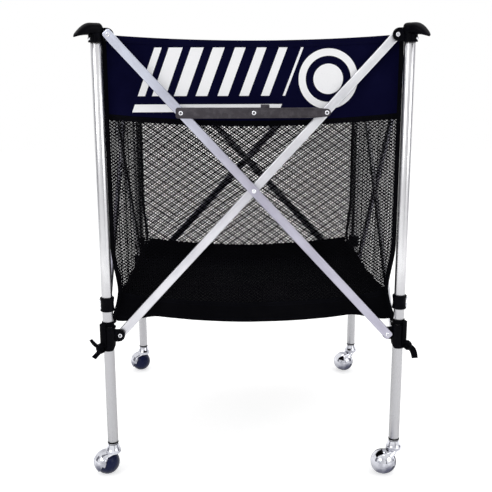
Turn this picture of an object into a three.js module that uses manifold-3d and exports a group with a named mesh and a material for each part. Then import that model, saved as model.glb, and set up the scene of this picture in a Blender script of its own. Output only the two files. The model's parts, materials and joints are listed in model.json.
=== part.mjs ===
// Folding ball cart: a square aluminium frame on four swivel ball casters. Each of its four faces
// has a scissor pair of flat tubes, so the frame folds into a bundle, and a fabric bag with net
// walls hangs inside the legs. Millimetres, +Z up, the front faces -Y.
//
// The cart is the same on all four faces: each face, with the leg at its first corner, is made once
// in the front face's place and turned a quarter at a time about the middle of the cart.

import * as THREE from 'three';
import { mergeVertices } from 'three/addons/utils/BufferGeometryUtils.js';
import { ConvexGeometry } from 'three/addons/geometries/ConvexGeometry.js';
import Module from 'manifold-3d';

const wasm = await Module();
wasm.setup();

// Clearances
const restGap = 0.3;        // between two pieces that touch
const slideGap = 0.4;       // between a sliding collar and its tube, and beside a pivot ear
const overrun = 2;          // how far a cutter or a joined piece runs past a face

// Frame
const legSpacing = 600;     // between the centres of neighbouring legs
const pivotClear = 4;       // from a leg tube to the end of a bar that lies along it
const topPivotZ = 915;
const pivotRise = 599;      // between the upper and the lower pivots

// Leg tube
const tubeRadius = 11;
const tubeWall = 1.2;
const tubeFootZ = 80;
const tubeAbovePivot = 15;

// Scissor bars, flat tubes that cross in the middle of each face
const barWidth = 18;
const barThick = 8.5;
const barWall = 1.4;
const barEdgeRound = 2.4;
const barOverhang = 9;      // past the pivot at each end
const barEndRound = 5;

// Rivets
const rivetRadius = 3;
const rivetHeadRadius = 5.2;
const rivetHeadThick = 1.5;
const spacerRadius = 7;

// Pivot ears of the corner caps and the sliders
const earThick = 6;
const earRadius = 13;
const earTip = 10;          // from the pivot to the end of the ear

// Corner cap
const capBelowEar = 1;
const capNeckHeight = 18;
const capNeckWall = 2.1;
const capCrown = 7;         // above the end of the tube
const capProud = 1.6;       // of the lip and the dome, past the neck
const capLipThick = 2;
const capRound = 5;
const capRibRadius = 1.3;
const capRibs = 3;
const beakReach = 46;       // from the leg's centre to the tip
const beakTurn = 8;         // degrees from the corner's diagonal
const beakTipDrop = 29;     // below the cap's top
const beakUnderDrop = 23;
const beakTipThick = 4;
const beakRootThick = 24;
const bagBossRadius = 4.5;  // holds the bag's corner on the inner side of the cap

// Slider
const sliderWall = 3.1;
const sliderAbove = 20;     // from the pivot to the slider's top
const sliderBelow = 18;
const sliderLipProud = 1.5;
const sliderLipThick = 3;
const sliderChamferIn = 1;
const sliderChamferUp = 2;

// Fixed stop collar
const stopAbovePivot = 53;
const stopHeight = 29;
const stopWall = 3.2;
const stopWaist = 0.9;
const stopRivetRadius = 3.6;
const stopRivetPitch = 14;
const stopRivetProud = 1.3;

// Lock strut across the upper half of the front scissor
const strutRise = 153;      // from the crossing up to the strut's rivets
const leftLinkHeight = 21;
const rightLinkHeight = 19.5;
const linkThick = 2.2;
const linkOverhang = 10;
const linkFlange = 3;
const linkFlangeThick = 1.5;
const linkFlatEnd = 22;
const linkEndRadius = 7.5;
const tabStart = 13;        // from the strut's centre rivet
const tabEnd = 30;
const tabRise = 5.5;
const tabNeck = 6;
const strutStubRadius = 5;
const centreHeadThick = 1;   // behind the links, where the bars pass

// Caster
const ballRadius = 26;
const casterTrail = 16;
const casterOffset = 12;    // from the swivel to the ball's centre, towards the hood
const axleLift = 20;        // degrees that the axle rises on the hood's side
const hoodProud = 3.3;      // past the ball
const hoodFloorClear = 7.5;
const hoodWall = 2;
const treadEndAt = 4;       // along the axle, from the ball's centre
const rimLap = 2;           // of the hood over the tread
const hubWall = 6;
const hubHeight = 4;
const axleRadius = 3;
const axleDepth = 14;
const axleBossWall = 3.5;
const cupAboveBall = 2.5;
const cupRadius = 16.2;
const cupHeight = 8.5;
const cupConeHeight = 5;
const neckInset = 4.2;      // from the cup's edge to the neck
const neckAboveRim = 1;     // along the axle
const neckLength = 12;
const neckSpread = 0.7;     // radians to each side
const stemRadius = 5.5;
const stemShoulder = 2.5;
const stemInTube = 28;
const casterHeadings = [105, 150, 155, 85]; // degrees of each trail from +X, leg by leg

// Socket that holds the caster's stem in the foot of the tube
const socketPastStem = 4;
const socketLipThick = 3;
const socketLipProud = 0.6; // past the tube

// Bag
const bagClear = 0.8;       // between the rivets of the inner bars and the bag
const clothThick = 2.5;
const bandAbovePivot = 1;   // at the corners
const bandHeight = 160;
const bandSag = 11;
const bandLowSag = 14;
const skirtHeight = 30;     // of the solid hem below the net, at the corners
const hemBelowStop = 7;
const hemSag = 25;
const floorLift = 1;        // of the floor cloth above the hem
const netBorder = 14;
const netColumns = 5;       // gaps across the widest rows
const netRows = 5;          // rows of gaps, each half a gap above the last
const netCordWidth = 7;

// Tie that holds the bag's lower corner to the leg
const tieWidth = 10;
const tieThick = 2;
const tieBelowStop = 26.5;
const tieLoopHeight = 9;
const tieRise = 24;         // from the loop up to the bag's corner
const tieClear = 1.5;       // beside the slider that passes
const tieKnotDrop = 29;     // below the slider's pivot
const tieKnotWidth = 12;
const tieKnotHeight = 16;
const tieKnotSunk = 0.5;    // into the strap behind it
const tieTailWidth = 8;
const tieTailUpLength = 32;
const tieTailDownLength = 30;
const tieTailTilt = 26;     // degrees from upright

// Sizes that follow from these
const half = legSpacing / 2;
const pivotInset = tubeRadius + barOverhang + pivotClear;
const pivotSpan = legSpacing - 2 * pivotInset;
const lowPivotZ = topPivotZ - pivotRise;
const tubeTopZ = topPivotZ + tubeAbovePivot;
const barLength = Math.hypot(pivotSpan, pivotRise);
const barLean = Math.atan2(pivotSpan, pivotRise);
const crossZ = (topPivotZ + lowPivotZ) / 2;
const barOffset = earThick / 2 + slideGap + barThick / 2;
const barFace = barOffset + barThick / 2;
const barInner = barOffset - barThick / 2;
const boreRadius = tubeRadius + restGap;
const holeRadius = rivetRadius + restGap;
const strutAt = strutRise / Math.cos(barLean);
const strutHalf = strutRise * Math.tan(barLean);
const capUnderZ = topPivotZ - earRadius - capBelowEar;
const capDomeZ = capUnderZ + capNeckHeight;
const capTopZ = tubeTopZ + capCrown;
const capNeckRadius = boreRadius + capNeckWall;
const capOuterRadius = capNeckRadius + capProud;
const sliderBore = tubeRadius + slideGap;
const sliderRadius = sliderBore + sliderWall;
const sliderLipRadius = sliderRadius + sliderLipProud;
const stopLowZ = lowPivotZ + stopAbovePivot;
const stopHighZ = stopLowZ + stopHeight;
const stopRadius = boreRadius + stopWall;
const hoodRadius = ballRadius + hoodProud;
const hoodRimAt = treadEndAt - rimLap;
const hubRadius = axleRadius + hubWall;
const hubEndAt = treadEndAt + hubHeight;
const cupLowZ = 2 * ballRadius + cupAboveBall;
const cupHighZ = cupLowZ + cupHeight;
const cupConeZ = cupHighZ + cupConeHeight;
const stemTopZ = tubeFootZ + stemInTube;
const bagInset = barFace + restGap + rivetHeadThick + bagClear;
const bagHalf = half - bagInset;
const clothInner = bagHalf - clothThick;
const bandCornerZ = topPivotZ + bandAbovePivot;
const bandMiddleZ = bandCornerZ - bandSag;
const bandLowCornerZ = bandCornerZ - bandHeight;
const bandLowMiddleZ = bandLowCornerZ - bandLowSag;
const hemCornerZ = stopLowZ - hemBelowStop;
const hemMiddleZ = hemCornerZ - hemSag;
const netLowZ = hemCornerZ + skirtHeight;
const tieLoopZ = stopLowZ - tieBelowStop;
const tieKnotZ = lowPivotZ - tieKnotDrop;
const leftLinkFront = barFace + slideGap + linkThick;
const rightLinkBack = leftLinkFront + slideGap;
const rightLinkFront = rightLinkBack + linkThick;
const quarterTurn = Math.PI / 2;

// Counts of sides and steps on round shapes
const roundSides = 16;
const rivetSides = 8;
const pocketSides = 10;
const shaftSides = 6;
const ribSides = 3;
const ballSides = 16;
const ballSteps = 4;
const arcSteps = 3;
const clothSteps = 8;

const aluminium = new THREE.MeshStandardMaterial({ color: 0xc9ccd2, roughness: 0.32, metalness: 0.9 });
const barMetal = new THREE.MeshStandardMaterial({ color: 0xc2c4d2, roughness: 0.38, metalness: 0.85 });
const plastic = new THREE.MeshStandardMaterial({ color: 0x15151c, roughness: 0.45, metalness: 0 });
const chrome = new THREE.MeshStandardMaterial({ color: 0xd8dade, roughness: 0.12, metalness: 1 });
const rubber = new THREE.MeshStandardMaterial({ color: 0x10182c, roughness: 0.5, metalness: 0 });
const steel = new THREE.MeshStandardMaterial({ color: 0x34323a, roughness: 0.4, metalness: 0.7 });
const cloth = new THREE.MeshStandardMaterial({ color: 0x0a0b1c, roughness: 0.85, metalness: 0 });
const net = new THREE.MeshStandardMaterial({ color: 0x0b0b0e, roughness: 0.8, metalness: 0 });

// Joining and cutting
function solidOf(geometry) {
  const bare = geometry.index ? geometry.toNonIndexed() : geometry.clone();
  bare.deleteAttribute('normal');
  bare.deleteAttribute('uv');
  const merged = mergeVertices(bare);
  const triVerts = new Uint32Array(merged.index.array);
  const vertProperties = merged.attributes.position.array;
  return new wasm.Manifold(new wasm.Mesh({ numProp: 3, vertProperties, triVerts }));
}

function geometryOf(solid) {
  const { vertProperties, triVerts } = solid.getMesh();
  const geometry = new THREE.BufferGeometry();
  geometry.setAttribute('position', new THREE.BufferAttribute(vertProperties, 3));
  geometry.setIndex(new THREE.BufferAttribute(triVerts, 1));
  const flat = geometry.toNonIndexed();
  flat.computeVertexNormals();
  return flat;
}

const joined = (...geometries) => geometries.map(solidOf).reduce((all, one) => all.add(one));
const without = (solid, ...cutters) => cutters.map(solidOf).reduce((left, one) => left.subtract(one), solid);

function piece(parent, name, geometry, material) {
  const mesh = new THREE.Mesh(geometry, material);
  mesh.name = name;
  parent.add(mesh);
  return mesh;
}

// Shapes along the three axes
function alongZ(radius, low, high, sides = roundSides) {
  return new THREE.CylinderGeometry(radius, radius, high - low, sides)
    .rotateX(quarterTurn)
    .translate(0, 0, (low + high) / 2);
}

function alongY(radius, low, high, sides = rivetSides) {
  return alongZ(radius, -high, -low, sides).rotateX(quarterTurn);
}

function alongX(radius, low, high, sides = rivetSides) {
  return alongZ(radius, low, high, sides).rotateY(quarterTurn);
}

function turnedZ(points, sides = roundSides) {
  return new THREE.LatheGeometry(points.map(([r, z]) => new THREE.Vector2(r, z)), sides).rotateX(quarterTurn);
}

// A flat outline drawn in x and z, standing between two values of y
function standing(shape, low, high, curveSegments = arcSteps) {
  return new THREE.ExtrudeGeometry(shape, { depth: high - low, bevelEnabled: false, curveSegments })
    .rotateX(quarterTurn)
    .translate(0, high, 0);
}

function boxBetween(x0, x1, y0, y1, z0, z1) {
  return new THREE.BoxGeometry(x1 - x0, y1 - y0, z1 - z0)
    .translate((x0 + x1) / 2, (y0 + y1) / 2, (z0 + z1) / 2);
}

function roundedBox(width, height, radius) {
  const [x, y] = [width / 2, height / 2];
  const shape = new THREE.Shape();
  shape.absarc(x - radius, y - radius, radius, 0, quarterTurn);
  shape.absarc(-x + radius, y - radius, radius, quarterTurn, 2 * quarterTurn);
  shape.absarc(-x + radius, -y + radius, radius, 2 * quarterTurn, 3 * quarterTurn);
  shape.absarc(x - radius, -y + radius, radius, 3 * quarterTurn, 4 * quarterTurn);
  return shape;
}

// Leg tube with open ends
function legTube() {
  const inner = tubeRadius - tubeWall;
  return turnedZ([
    [inner, tubeFootZ],
    [tubeRadius, tubeFootZ],
    [tubeRadius, tubeTopZ],
    [inner, tubeTopZ],
    [inner, tubeFootZ],
  ]);
}

// An ear that carries a pivot beside the leg, towards +X
function pivotEar(pivotZ) {
  const centre = pivotInset + earTip - earRadius;
  const shape = new THREE.Shape();
  shape.moveTo(tubeRadius, pivotZ - earRadius);
  shape.lineTo(centre, pivotZ - earRadius);
  shape.absarc(centre, pivotZ, earRadius, -quarterTurn, quarterTurn);
  shape.lineTo(tubeRadius, pivotZ + earRadius);
  return standing(shape, -earThick / 2, earThick / 2, 2 * arcSteps);
}

// The two ears of a cap or slider, with the pockets that clear the bar ends. The bar on the +X ear
// stands on the side that onX names, and the bar on the +Y ear on the other side of its own face.
function withEars(body, pivotZ, onX) {
  const barReach = Math.hypot(barOverhang - barEndRound, barWidth / 2 - barEndRound) + barEndRound;
  const reach = (barReach + slideGap) / Math.cos(2 * quarterTurn / pocketSides);
  const place = (geometry) => geometry.translate(pivotInset, 0, pivotZ);
  const onY = (geometry) => geometry.rotateZ(quarterTurn);
  const near = earThick / 2;
  const far = barFace + overrun;
  const pocket = (side) => place(
    side < 0 ? alongY(reach, -far, -near, pocketSides) : alongY(reach, near, far, pocketSides),
  );
  const hole = () => place(alongY(holeRadius, -far, far, rivetSides));
  const eared = body.add(solidOf(pivotEar(pivotZ))).add(solidOf(onY(pivotEar(pivotZ))));
  return without(eared, pocket(onX), onY(pocket(onX)), hole(), onY(hole()));
}

// Beak of the corner cap, along +X before it is turned to the diagonal
function beak() {
  const side = new THREE.Shape();
  const [underZ, tipZ] = [capTopZ - beakUnderDrop, capTopZ - beakTipDrop];
  side.moveTo(0, underZ);
  side.lineTo(tubeRadius, underZ);
  side.quadraticCurveTo((tubeRadius + beakReach) / 2, underZ, beakReach, tipZ);
  side.quadraticCurveTo(beakReach - capRound, capTopZ - capRound, capOuterRadius, capTopZ);
  side.lineTo(0, capTopZ);
  const plan = new THREE.Shape();
  plan.moveTo(0, -beakRootThick / 2);
  plan.lineTo(capOuterRadius, -beakRootThick / 2);
  plan.lineTo(beakReach + overrun, -beakTipThick / 2);
  plan.lineTo(beakReach + overrun, beakTipThick / 2);
  plan.lineTo(capOuterRadius, beakRootThick / 2);
  plan.lineTo(0, beakRootThick / 2);
  const thick = solidOf(standing(side, -beakRootThick, beakRootThick));
  const height = { depth: capTopZ - capUnderZ, bevelEnabled: false };
  return thick.intersect(solidOf(new THREE.ExtrudeGeometry(plan, height).translate(0, 0, capUnderZ)));
}

// Corner cap on the top of a leg
function cornerCap() {
  const body = solidOf(turnedZ([
    [0, capUnderZ],
    [capOuterRadius, capUnderZ],
    [capOuterRadius, capUnderZ + capLipThick],
    [capNeckRadius, capUnderZ + capLipThick],
    [capNeckRadius, capDomeZ],
    [capOuterRadius, capDomeZ],
    [capOuterRadius, capTopZ - capRound],
    [capOuterRadius - capRound / 2, capTopZ - capRound / 4],
    [capOuterRadius - capRound, capTopZ],
    [0, capTopZ],
  ]));
  const heading = -3 * quarterTurn / 2 - THREE.MathUtils.degToRad(beakTurn);
  const beakGeometry = geometryOf(beak()).rotateZ(heading);
  let cap = body.add(solidOf(beakGeometry));
  for (let rib = 0; rib < capRibs; rib++) {
    const angle = Math.PI + (rib + 0.5) * quarterTurn / capRibs;
    const [x, y] = [capNeckRadius * Math.cos(angle), capNeckRadius * Math.sin(angle)];
    cap = cap.add(solidOf(alongZ(capRibRadius, capUnderZ, capDomeZ, ribSides).translate(x, y, 0)));
  }
  const bossReach = Math.SQRT2 * bagInset - restGap;
  const boss = alongX(bagBossRadius, tubeRadius, bossReach, rivetSides).rotateZ(quarterTurn / 2);
  cap = cap.add(solidOf(boss.translate(0, 0, (capUnderZ + capDomeZ) / 2)));
  cap = withEars(cap, topPivotZ, -1);
  return geometryOf(without(cap, alongZ(boreRadius, capUnderZ - overrun, tubeTopZ + restGap)));
}

// Sliding collar that carries the lower scissor pivots
function slider() {
  const low = lowPivotZ - sliderBelow;
  const high = lowPivotZ + sliderAbove;
  const body = solidOf(turnedZ([
    [0, low],
    [sliderRadius - sliderChamferIn, low],
    [sliderRadius, low + sliderChamferUp],
    [sliderRadius, high - sliderLipThick],
    [sliderLipRadius, high - sliderLipThick],
    [sliderLipRadius, high],
    [0, high],
  ]));
  const eared = withEars(body, lowPivotZ, 1);
  return geometryOf(without(eared, alongZ(sliderBore, low - overrun, high + overrun)));
}

// Stop collar riveted to the leg above the slider, with its rivets on the side at rivetAngle
function stopCollar(rivetAngle) {
  const middle = (stopLowZ + stopHighZ) / 2;
  const rivetFoot = (boreRadius + stopRadius - stopWaist) / 2;
  const ring = turnedZ([
    [boreRadius, stopLowZ],
    [stopRadius, stopLowZ],
    [stopRadius - stopWaist, middle],
    [stopRadius, stopHighZ],
    [boreRadius, stopHighZ],
    [boreRadius, stopLowZ],
  ]);
  const rivets = [-1, 1].map((side) => {
    const z = middle + side * stopRivetPitch / 2;
    const head = alongX(stopRivetRadius, rivetFoot, stopRadius + stopRivetProud);
    return head.translate(0, 0, z).rotateZ(rivetAngle);
  });
  return geometryOf(joined(ring, ...rivets));
}

// Scissor bar with its two end rivets. Its length is along Z, its crossing at the middle, and the
// ears that it is riveted to lie on the side of y that earSide gives.
function scissorBar(earSide, drilled) {
  const long = barLength + 2 * barOverhang;
  const section = roundedBox(barWidth, barThick, barEdgeRound);
  const [hollowX, hollowY] = [barWidth / 2 - barWall, barThick / 2 - barWall];
  const hollow = [[-hollowX, -hollowY], [-hollowX, hollowY], [hollowX, hollowY], [hollowX, -hollowY]];
  section.holes.push(new THREE.Path(hollow.map(([x, y]) => new THREE.Vector2(x, y))));
  const depth = { depth: long, bevelEnabled: false, curveSegments: 1 };
  const tube = solidOf(new THREE.ExtrudeGeometry(section, depth).translate(0, 0, -long / 2));
  const ends = solidOf(standing(roundedBox(barWidth, long, barEndRound), -barThick, barThick, 1));
  let bar = tube.intersect(ends);
  const between = (from, to, radius, sides) => {
    const [low, high] = earSide > 0 ? [from, to] : [-to, -from];
    return alongY(radius, low, high, sides);
  };
  const surface = barThick / 2;
  const behindEar = surface + slideGap + earThick + restGap;
  for (const end of [-1, 1]) {
    const rivet = joined(
      between(-surface - rivetHeadThick, behindEar + rivetHeadThick, rivetRadius, shaftSides),
      between(-surface - rivetHeadThick, -surface + barWall / 2, rivetHeadRadius),
      between(behindEar, behindEar + rivetHeadThick, rivetHeadRadius),
    );
    bar = bar.add(rivet.translate(0, 0, end * barLength / 2));
  }
  for (const at of drilled) {
    bar = without(bar, alongY(holeRadius, -barThick, barThick).translate(0, 0, at));
  }
  return geometryOf(bar);
}

// Rivet with its spacer, through the crossing of the two bars
function crossingRivet() {
  const headBack = barFace + restGap + rivetHeadThick;
  return geometryOf(joined(
    alongY(rivetRadius, -headBack, headBack, shaftSides),
    alongY(spacerRadius, -barInner + restGap, barInner - restGap),
    alongY(rivetHeadRadius, -headBack, -barFace - restGap),
    alongY(rivetHeadRadius, barFace + restGap, headBack),
  ));
}

// Rivet along -Y from its back end to the outer face of its front head, in distances outside the
// legs' plane
function pin(front, back, backHeadThick) {
  return joined(
    alongY(rivetRadius, -front, -back, shaftSides),
    alongY(rivetHeadRadius, -front, -front + rivetHeadThick),
    alongY(rivetHeadRadius, -back - backHeadThick, -back),
  );
}

// Left link of the lock strut with its rivet through the outer bar, drawn from that rivet. A thumb
// tab stands past the strut's centre.
function leftLink() {
  const high = leftLinkHeight / 2;
  const shape = new THREE.Shape();
  shape.absarc(barEndRound - linkOverhang, barEndRound - high, barEndRound, 2 * quarterTurn, 3 * quarterTurn);
  shape.lineTo(strutHalf, -high);
  shape.absarc(strutHalf, 0, high, -quarterTurn, quarterTurn);
  shape.absarc(barEndRound - linkOverhang, high - barEndRound, barEndRound, quarterTurn, 2 * quarterTurn);
  const tab = new THREE.Shape();
  tab.moveTo(strutHalf, high - tabNeck);
  tab.lineTo(strutHalf + tabEnd, high - tabNeck);
  tab.lineTo(strutHalf + tabEnd, high + tabRise);
  tab.lineTo(strutHalf + tabStart, high + tabRise);
  tab.lineTo(strutHalf + tabStart, high - restGap);
  tab.lineTo(strutHalf, high - restGap);
  const [low, back] = [-leftLinkFront, -barFace - slideGap];
  const plate = joined(standing(shape, low, back, 2 * arcSteps), standing(tab, low, back));
  const hole = alongY(holeRadius, low - overrun, back + overrun).translate(strutHalf, 0, 0);
  const rivetBack = barInner - restGap - rivetHeadThick;
  const rivet = pin(leftLinkFront + rivetHeadThick, rivetBack, rivetHeadThick);
  return geometryOf(without(plate, hole).add(rivet));
}

// Right link of the lock strut, a shallow channel drawn from the centre rivet. The stub on its flat
// end stops just short of the inner bar.
function rightLink() {
  const high = rightLinkHeight / 2;
  const flatFrom = strutHalf - linkFlatEnd;
  const shape = new THREE.Shape();
  shape.absarc(0, 0, high, quarterTurn, 3 * quarterTurn);
  shape.lineTo(flatFrom, -high);
  shape.lineTo(strutHalf - linkEndRadius, -linkEndRadius);
  shape.absarc(strutHalf, 0, linkEndRadius, -quarterTurn, quarterTurn);
  shape.lineTo(strutHalf - linkEndRadius, linkEndRadius);
  shape.lineTo(flatFrom, high);
  const front = -rightLinkFront;
  const flange = [front - linkFlange, -rightLinkBack];
  const lip = (low) => boxBetween(0, flatFrom, ...flange, low, low + linkFlangeThick);
  const link = joined(
    standing(shape, front, -rightLinkBack, 2 * arcSteps),
    lip(-high),
    lip(high - linkFlangeThick),
    alongY(strutStubRadius, front, barInner - restGap).translate(strutHalf, 0, 0),
    alongY(rivetHeadRadius, front - rivetHeadThick, front).translate(strutHalf, 0, 0),
  );
  return geometryOf(without(link, alongY(holeRadius, front - overrun, overrun - rightLinkBack)));
}

// Shapes about the axle, which rises towards +Z from its wheel, moved to their place on a caster
// whose trail runs along +X, with the hood towards +Y
function onAxle(geometry) {
  const lean = THREE.MathUtils.degToRad(axleLift);
  return geometry.rotateX(lean - quarterTurn).translate(casterTrail, casterOffset, ballRadius);
}

// Half outline of a ball about the axle between two heights on it
function ballArc(radius, low, high) {
  const from = Math.asin(low / radius);
  const to = Math.asin(high / radius);
  return Array.from({ length: ballSteps + 1 }, (_, step) => {
    const angle = from + (to - from) * step / ballSteps;
    return [Math.max(0, radius * Math.cos(angle)), radius * Math.sin(angle)];
  });
}

function ballWheel() {
  const bore = axleRadius + restGap;
  const boreEnd = hubEndAt - axleDepth - restGap;
  const wheel = turnedZ([
    ...ballArc(ballRadius, -ballRadius, treadEndAt),
    [hubRadius, treadEndAt],
    [hubRadius, hubEndAt],
    [bore, hubEndAt],
    [bore, boreEnd],
    [0, boreEnd],
  ], ballSides);
  return onAxle(wheel);
}

// Neck from the swivel cup down to the hood's shoulder
function casterNeck() {
  const towardsCup = Math.atan2(ballRadius - cupLowZ, -casterTrail);
  const points = [];
  for (const along of [hoodRimAt + neckAboveRim, hoodRimAt + neckAboveRim + neckLength]) {
    for (let step = -arcSteps; step <= arcSteps; step++) {
      const angle = towardsCup + step * neckSpread / arcSteps;
      const radius = Math.sqrt(hoodRadius ** 2 - along ** 2) - restGap;
      points.push(new THREE.Vector3(radius * Math.cos(angle), radius * Math.sin(angle), along));
    }
  }
  const shoulder = onAxle(new THREE.BufferGeometry().setFromPoints(points)).attributes.position;
  const neckRadius = cupRadius - neckInset;
  const hull = points.map((_, i) => new THREE.Vector3().fromBufferAttribute(shoulder, i));
  for (let side = 0; side < rivetSides; side++) {
    const angle = side * 4 * quarterTurn / rivetSides;
    const [x, y] = [neckRadius * Math.cos(angle), neckRadius * Math.sin(angle)];
    hull.push(new THREE.Vector3(x, y, cupLowZ + restGap));
  }
  return new ConvexGeometry(hull);
}

// Chromed hood of the caster, with the axle pin, the neck, the swivel cup and the stem
function casterHood() {
  const shellRadius = hoodRadius - hoodWall;
  const stemFootZ = tubeFootZ - socketLipThick - 2 * restGap;
  const stemNeckRadius = stemRadius + stemShoulder;
  const dome = onAxle(turnedZ([[0, hoodRimAt], ...ballArc(hoodRadius, hoodRimAt, hoodRadius)], ballSides));
  const cup = turnedZ([
    [0, cupLowZ],
    [cupRadius, cupLowZ],
    [cupRadius, cupHighZ],
    [stemNeckRadius, cupConeZ],
    [stemNeckRadius, stemFootZ],
    [stemRadius, stemFootZ],
    [stemRadius, stemTopZ],
    [0, stemTopZ],
  ]);
  const axle = onAxle(alongZ(axleRadius, hubEndAt - axleDepth, hoodRadius - hoodWall / 2, rivetSides));
  const boss = onAxle(alongZ(axleRadius + axleBossWall, hubEndAt + restGap, shellRadius, rivetSides));
  const inside = [[0, -hoodRimAt], ...ballArc(shellRadius, -hoodRimAt, shellRadius)];
  const hollow = onAxle(turnedZ(inside, ballSides));
  const room = ballRadius + restGap + slideGap;
  const wheelRoom = onAxle(turnedZ([...ballArc(room, -room, hoodRimAt), [0, hoodRimAt]], ballSides));
  const past = hoodRadius + casterTrail + overrun;
  const underHood = boxBetween(-past, past, -past, past, -past, hoodFloorClear);
  const body = solidOf(dome).add(solidOf(casterNeck())).add(solidOf(cup));
  const shell = without(body, hollow, wheelRoom, underHood);
  return geometryOf(shell.add(joined(axle, boss)));
}

// Socket in the foot of the tube
function casterSocket() {
  const low = tubeFootZ - restGap - socketLipThick;
  const body = tubeRadius - tubeWall - restGap;
  const bore = stemRadius + restGap;
  const lip = tubeRadius + socketLipProud;
  const top = stemTopZ + socketPastStem;
  return turnedZ([
    [bore, low],
    [lip, low],
    [lip, low + socketLipThick],
    [body, low + socketLipThick],
    [body, top],
    [bore, top],
    [bore, low],
  ], pocketSides);
}

// Height of an edge of the bag that hangs between the corners, where across runs from -1 to 1
const hanging = (cornerZ, middleZ, across) => middleZ + (cornerZ - middleZ) * across ** 2;

// One face of the bag between two hanging edges. It ends against the cloth of the next face.
function clothFace(low, high, holes = []) {
  const left = -bagHalf;
  const right = clothInner - restGap;
  const edge = (ends) => Array.from({ length: clothSteps + 1 }, (_, step) => {
    const x = left + (right - left) * step / clothSteps;
    return new THREE.Vector2(x, hanging(...ends, x / bagHalf));
  });
  const shape = new THREE.Shape([...edge(low), ...edge(high).reverse()]);
  shape.holes.push(...holes);
  return standing(shape, -bagHalf, -clothInner);
}

const topBand = () => clothFace([bandLowCornerZ, bandLowMiddleZ], [bandCornerZ, bandMiddleZ]);

// Diamond gaps of the net, in rows that are set off by half a gap
function netGaps() {
  const [left, right] = [netBorder - bagHalf, clothInner - netBorder];
  const [low, high] = [netLowZ, bandLowMiddleZ - netBorder];
  const pitch = (right - left) / netColumns;
  const rise = (high - low) / (netRows + 1);
  const [wide, tall] = [(pitch - netCordWidth) / 2, rise - netCordWidth / 2];
  const gaps = [];
  for (let row = 0; row < netRows; row++) {
    const z = low + rise * (row + 1);
    for (let column = row % 2; column < netColumns; column++) {
      const x = left + pitch * (column + (row % 2 ? 0 : 0.5));
      const corners = [[x, z - tall], [x + wide, z], [x, z + tall], [x - wide, z]];
      gaps.push(new THREE.Path(corners.map(([a, b]) => new THREE.Vector2(a, b))));
    }
  }
  return gaps;
}

const netWall = () => clothFace(
  [hemCornerZ, hemMiddleZ],
  [bandLowCornerZ - restGap, bandLowMiddleZ - restGap],
  netGaps(),
);

// Half of the floor cloth, from the middle of the bag to the front wall. Its corners rise with the
// hem.
function floorHalf() {
  const reach = clothInner - restGap;
  const fold = -restGap / 2;
  const [across, along] = [clothSteps, clothSteps / 2];
  const points = [];
  const faces = [];
  const lift = hemCornerZ - hemMiddleZ;
  for (const top of [0, clothThick]) {
    for (let row = 0; row <= along; row++) {
      for (let column = 0; column <= across; column++) {
        const x = reach * (2 * column / across - 1);
        const y = -reach + (reach + fold) * row / along;
        points.push(x, y, hemMiddleZ + floorLift + top + lift * (x * y / reach ** 2) ** 2);
      }
    }
  }
  const at = (layer, row, column) => (layer * (along + 1) + row) * (across + 1) + column;
  const quad = (a, b, c, d) => faces.push(a, b, c, a, c, d);
  for (let row = 0; row < along; row++) {
    for (let column = 0; column < across; column++) {
      quad(at(1, row, column), at(1, row, column + 1), at(1, row + 1, column + 1), at(1, row + 1, column));
      quad(at(0, row, column), at(0, row + 1, column), at(0, row + 1, column + 1), at(0, row, column + 1));
    }
    quad(at(0, row + 1, 0), at(0, row, 0), at(1, row, 0), at(1, row + 1, 0));
    quad(at(0, row, across), at(0, row + 1, across), at(1, row + 1, across), at(1, row, across));
  }
  for (let column = 0; column < across; column++) {
    quad(at(0, 0, column), at(0, 0, column + 1), at(1, 0, column + 1), at(1, 0, column));
    quad(at(0, along, column + 1), at(0, along, column), at(1, along, column), at(1, along, column + 1));
  }
  const sheet = new THREE.BufferGeometry();
  sheet.setAttribute('position', new THREE.Float32BufferAttribute(points, 3));
  sheet.setIndex(faces);
  const flat = sheet.toNonIndexed();
  flat.computeVertexNormals();
  return flat;
}

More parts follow.
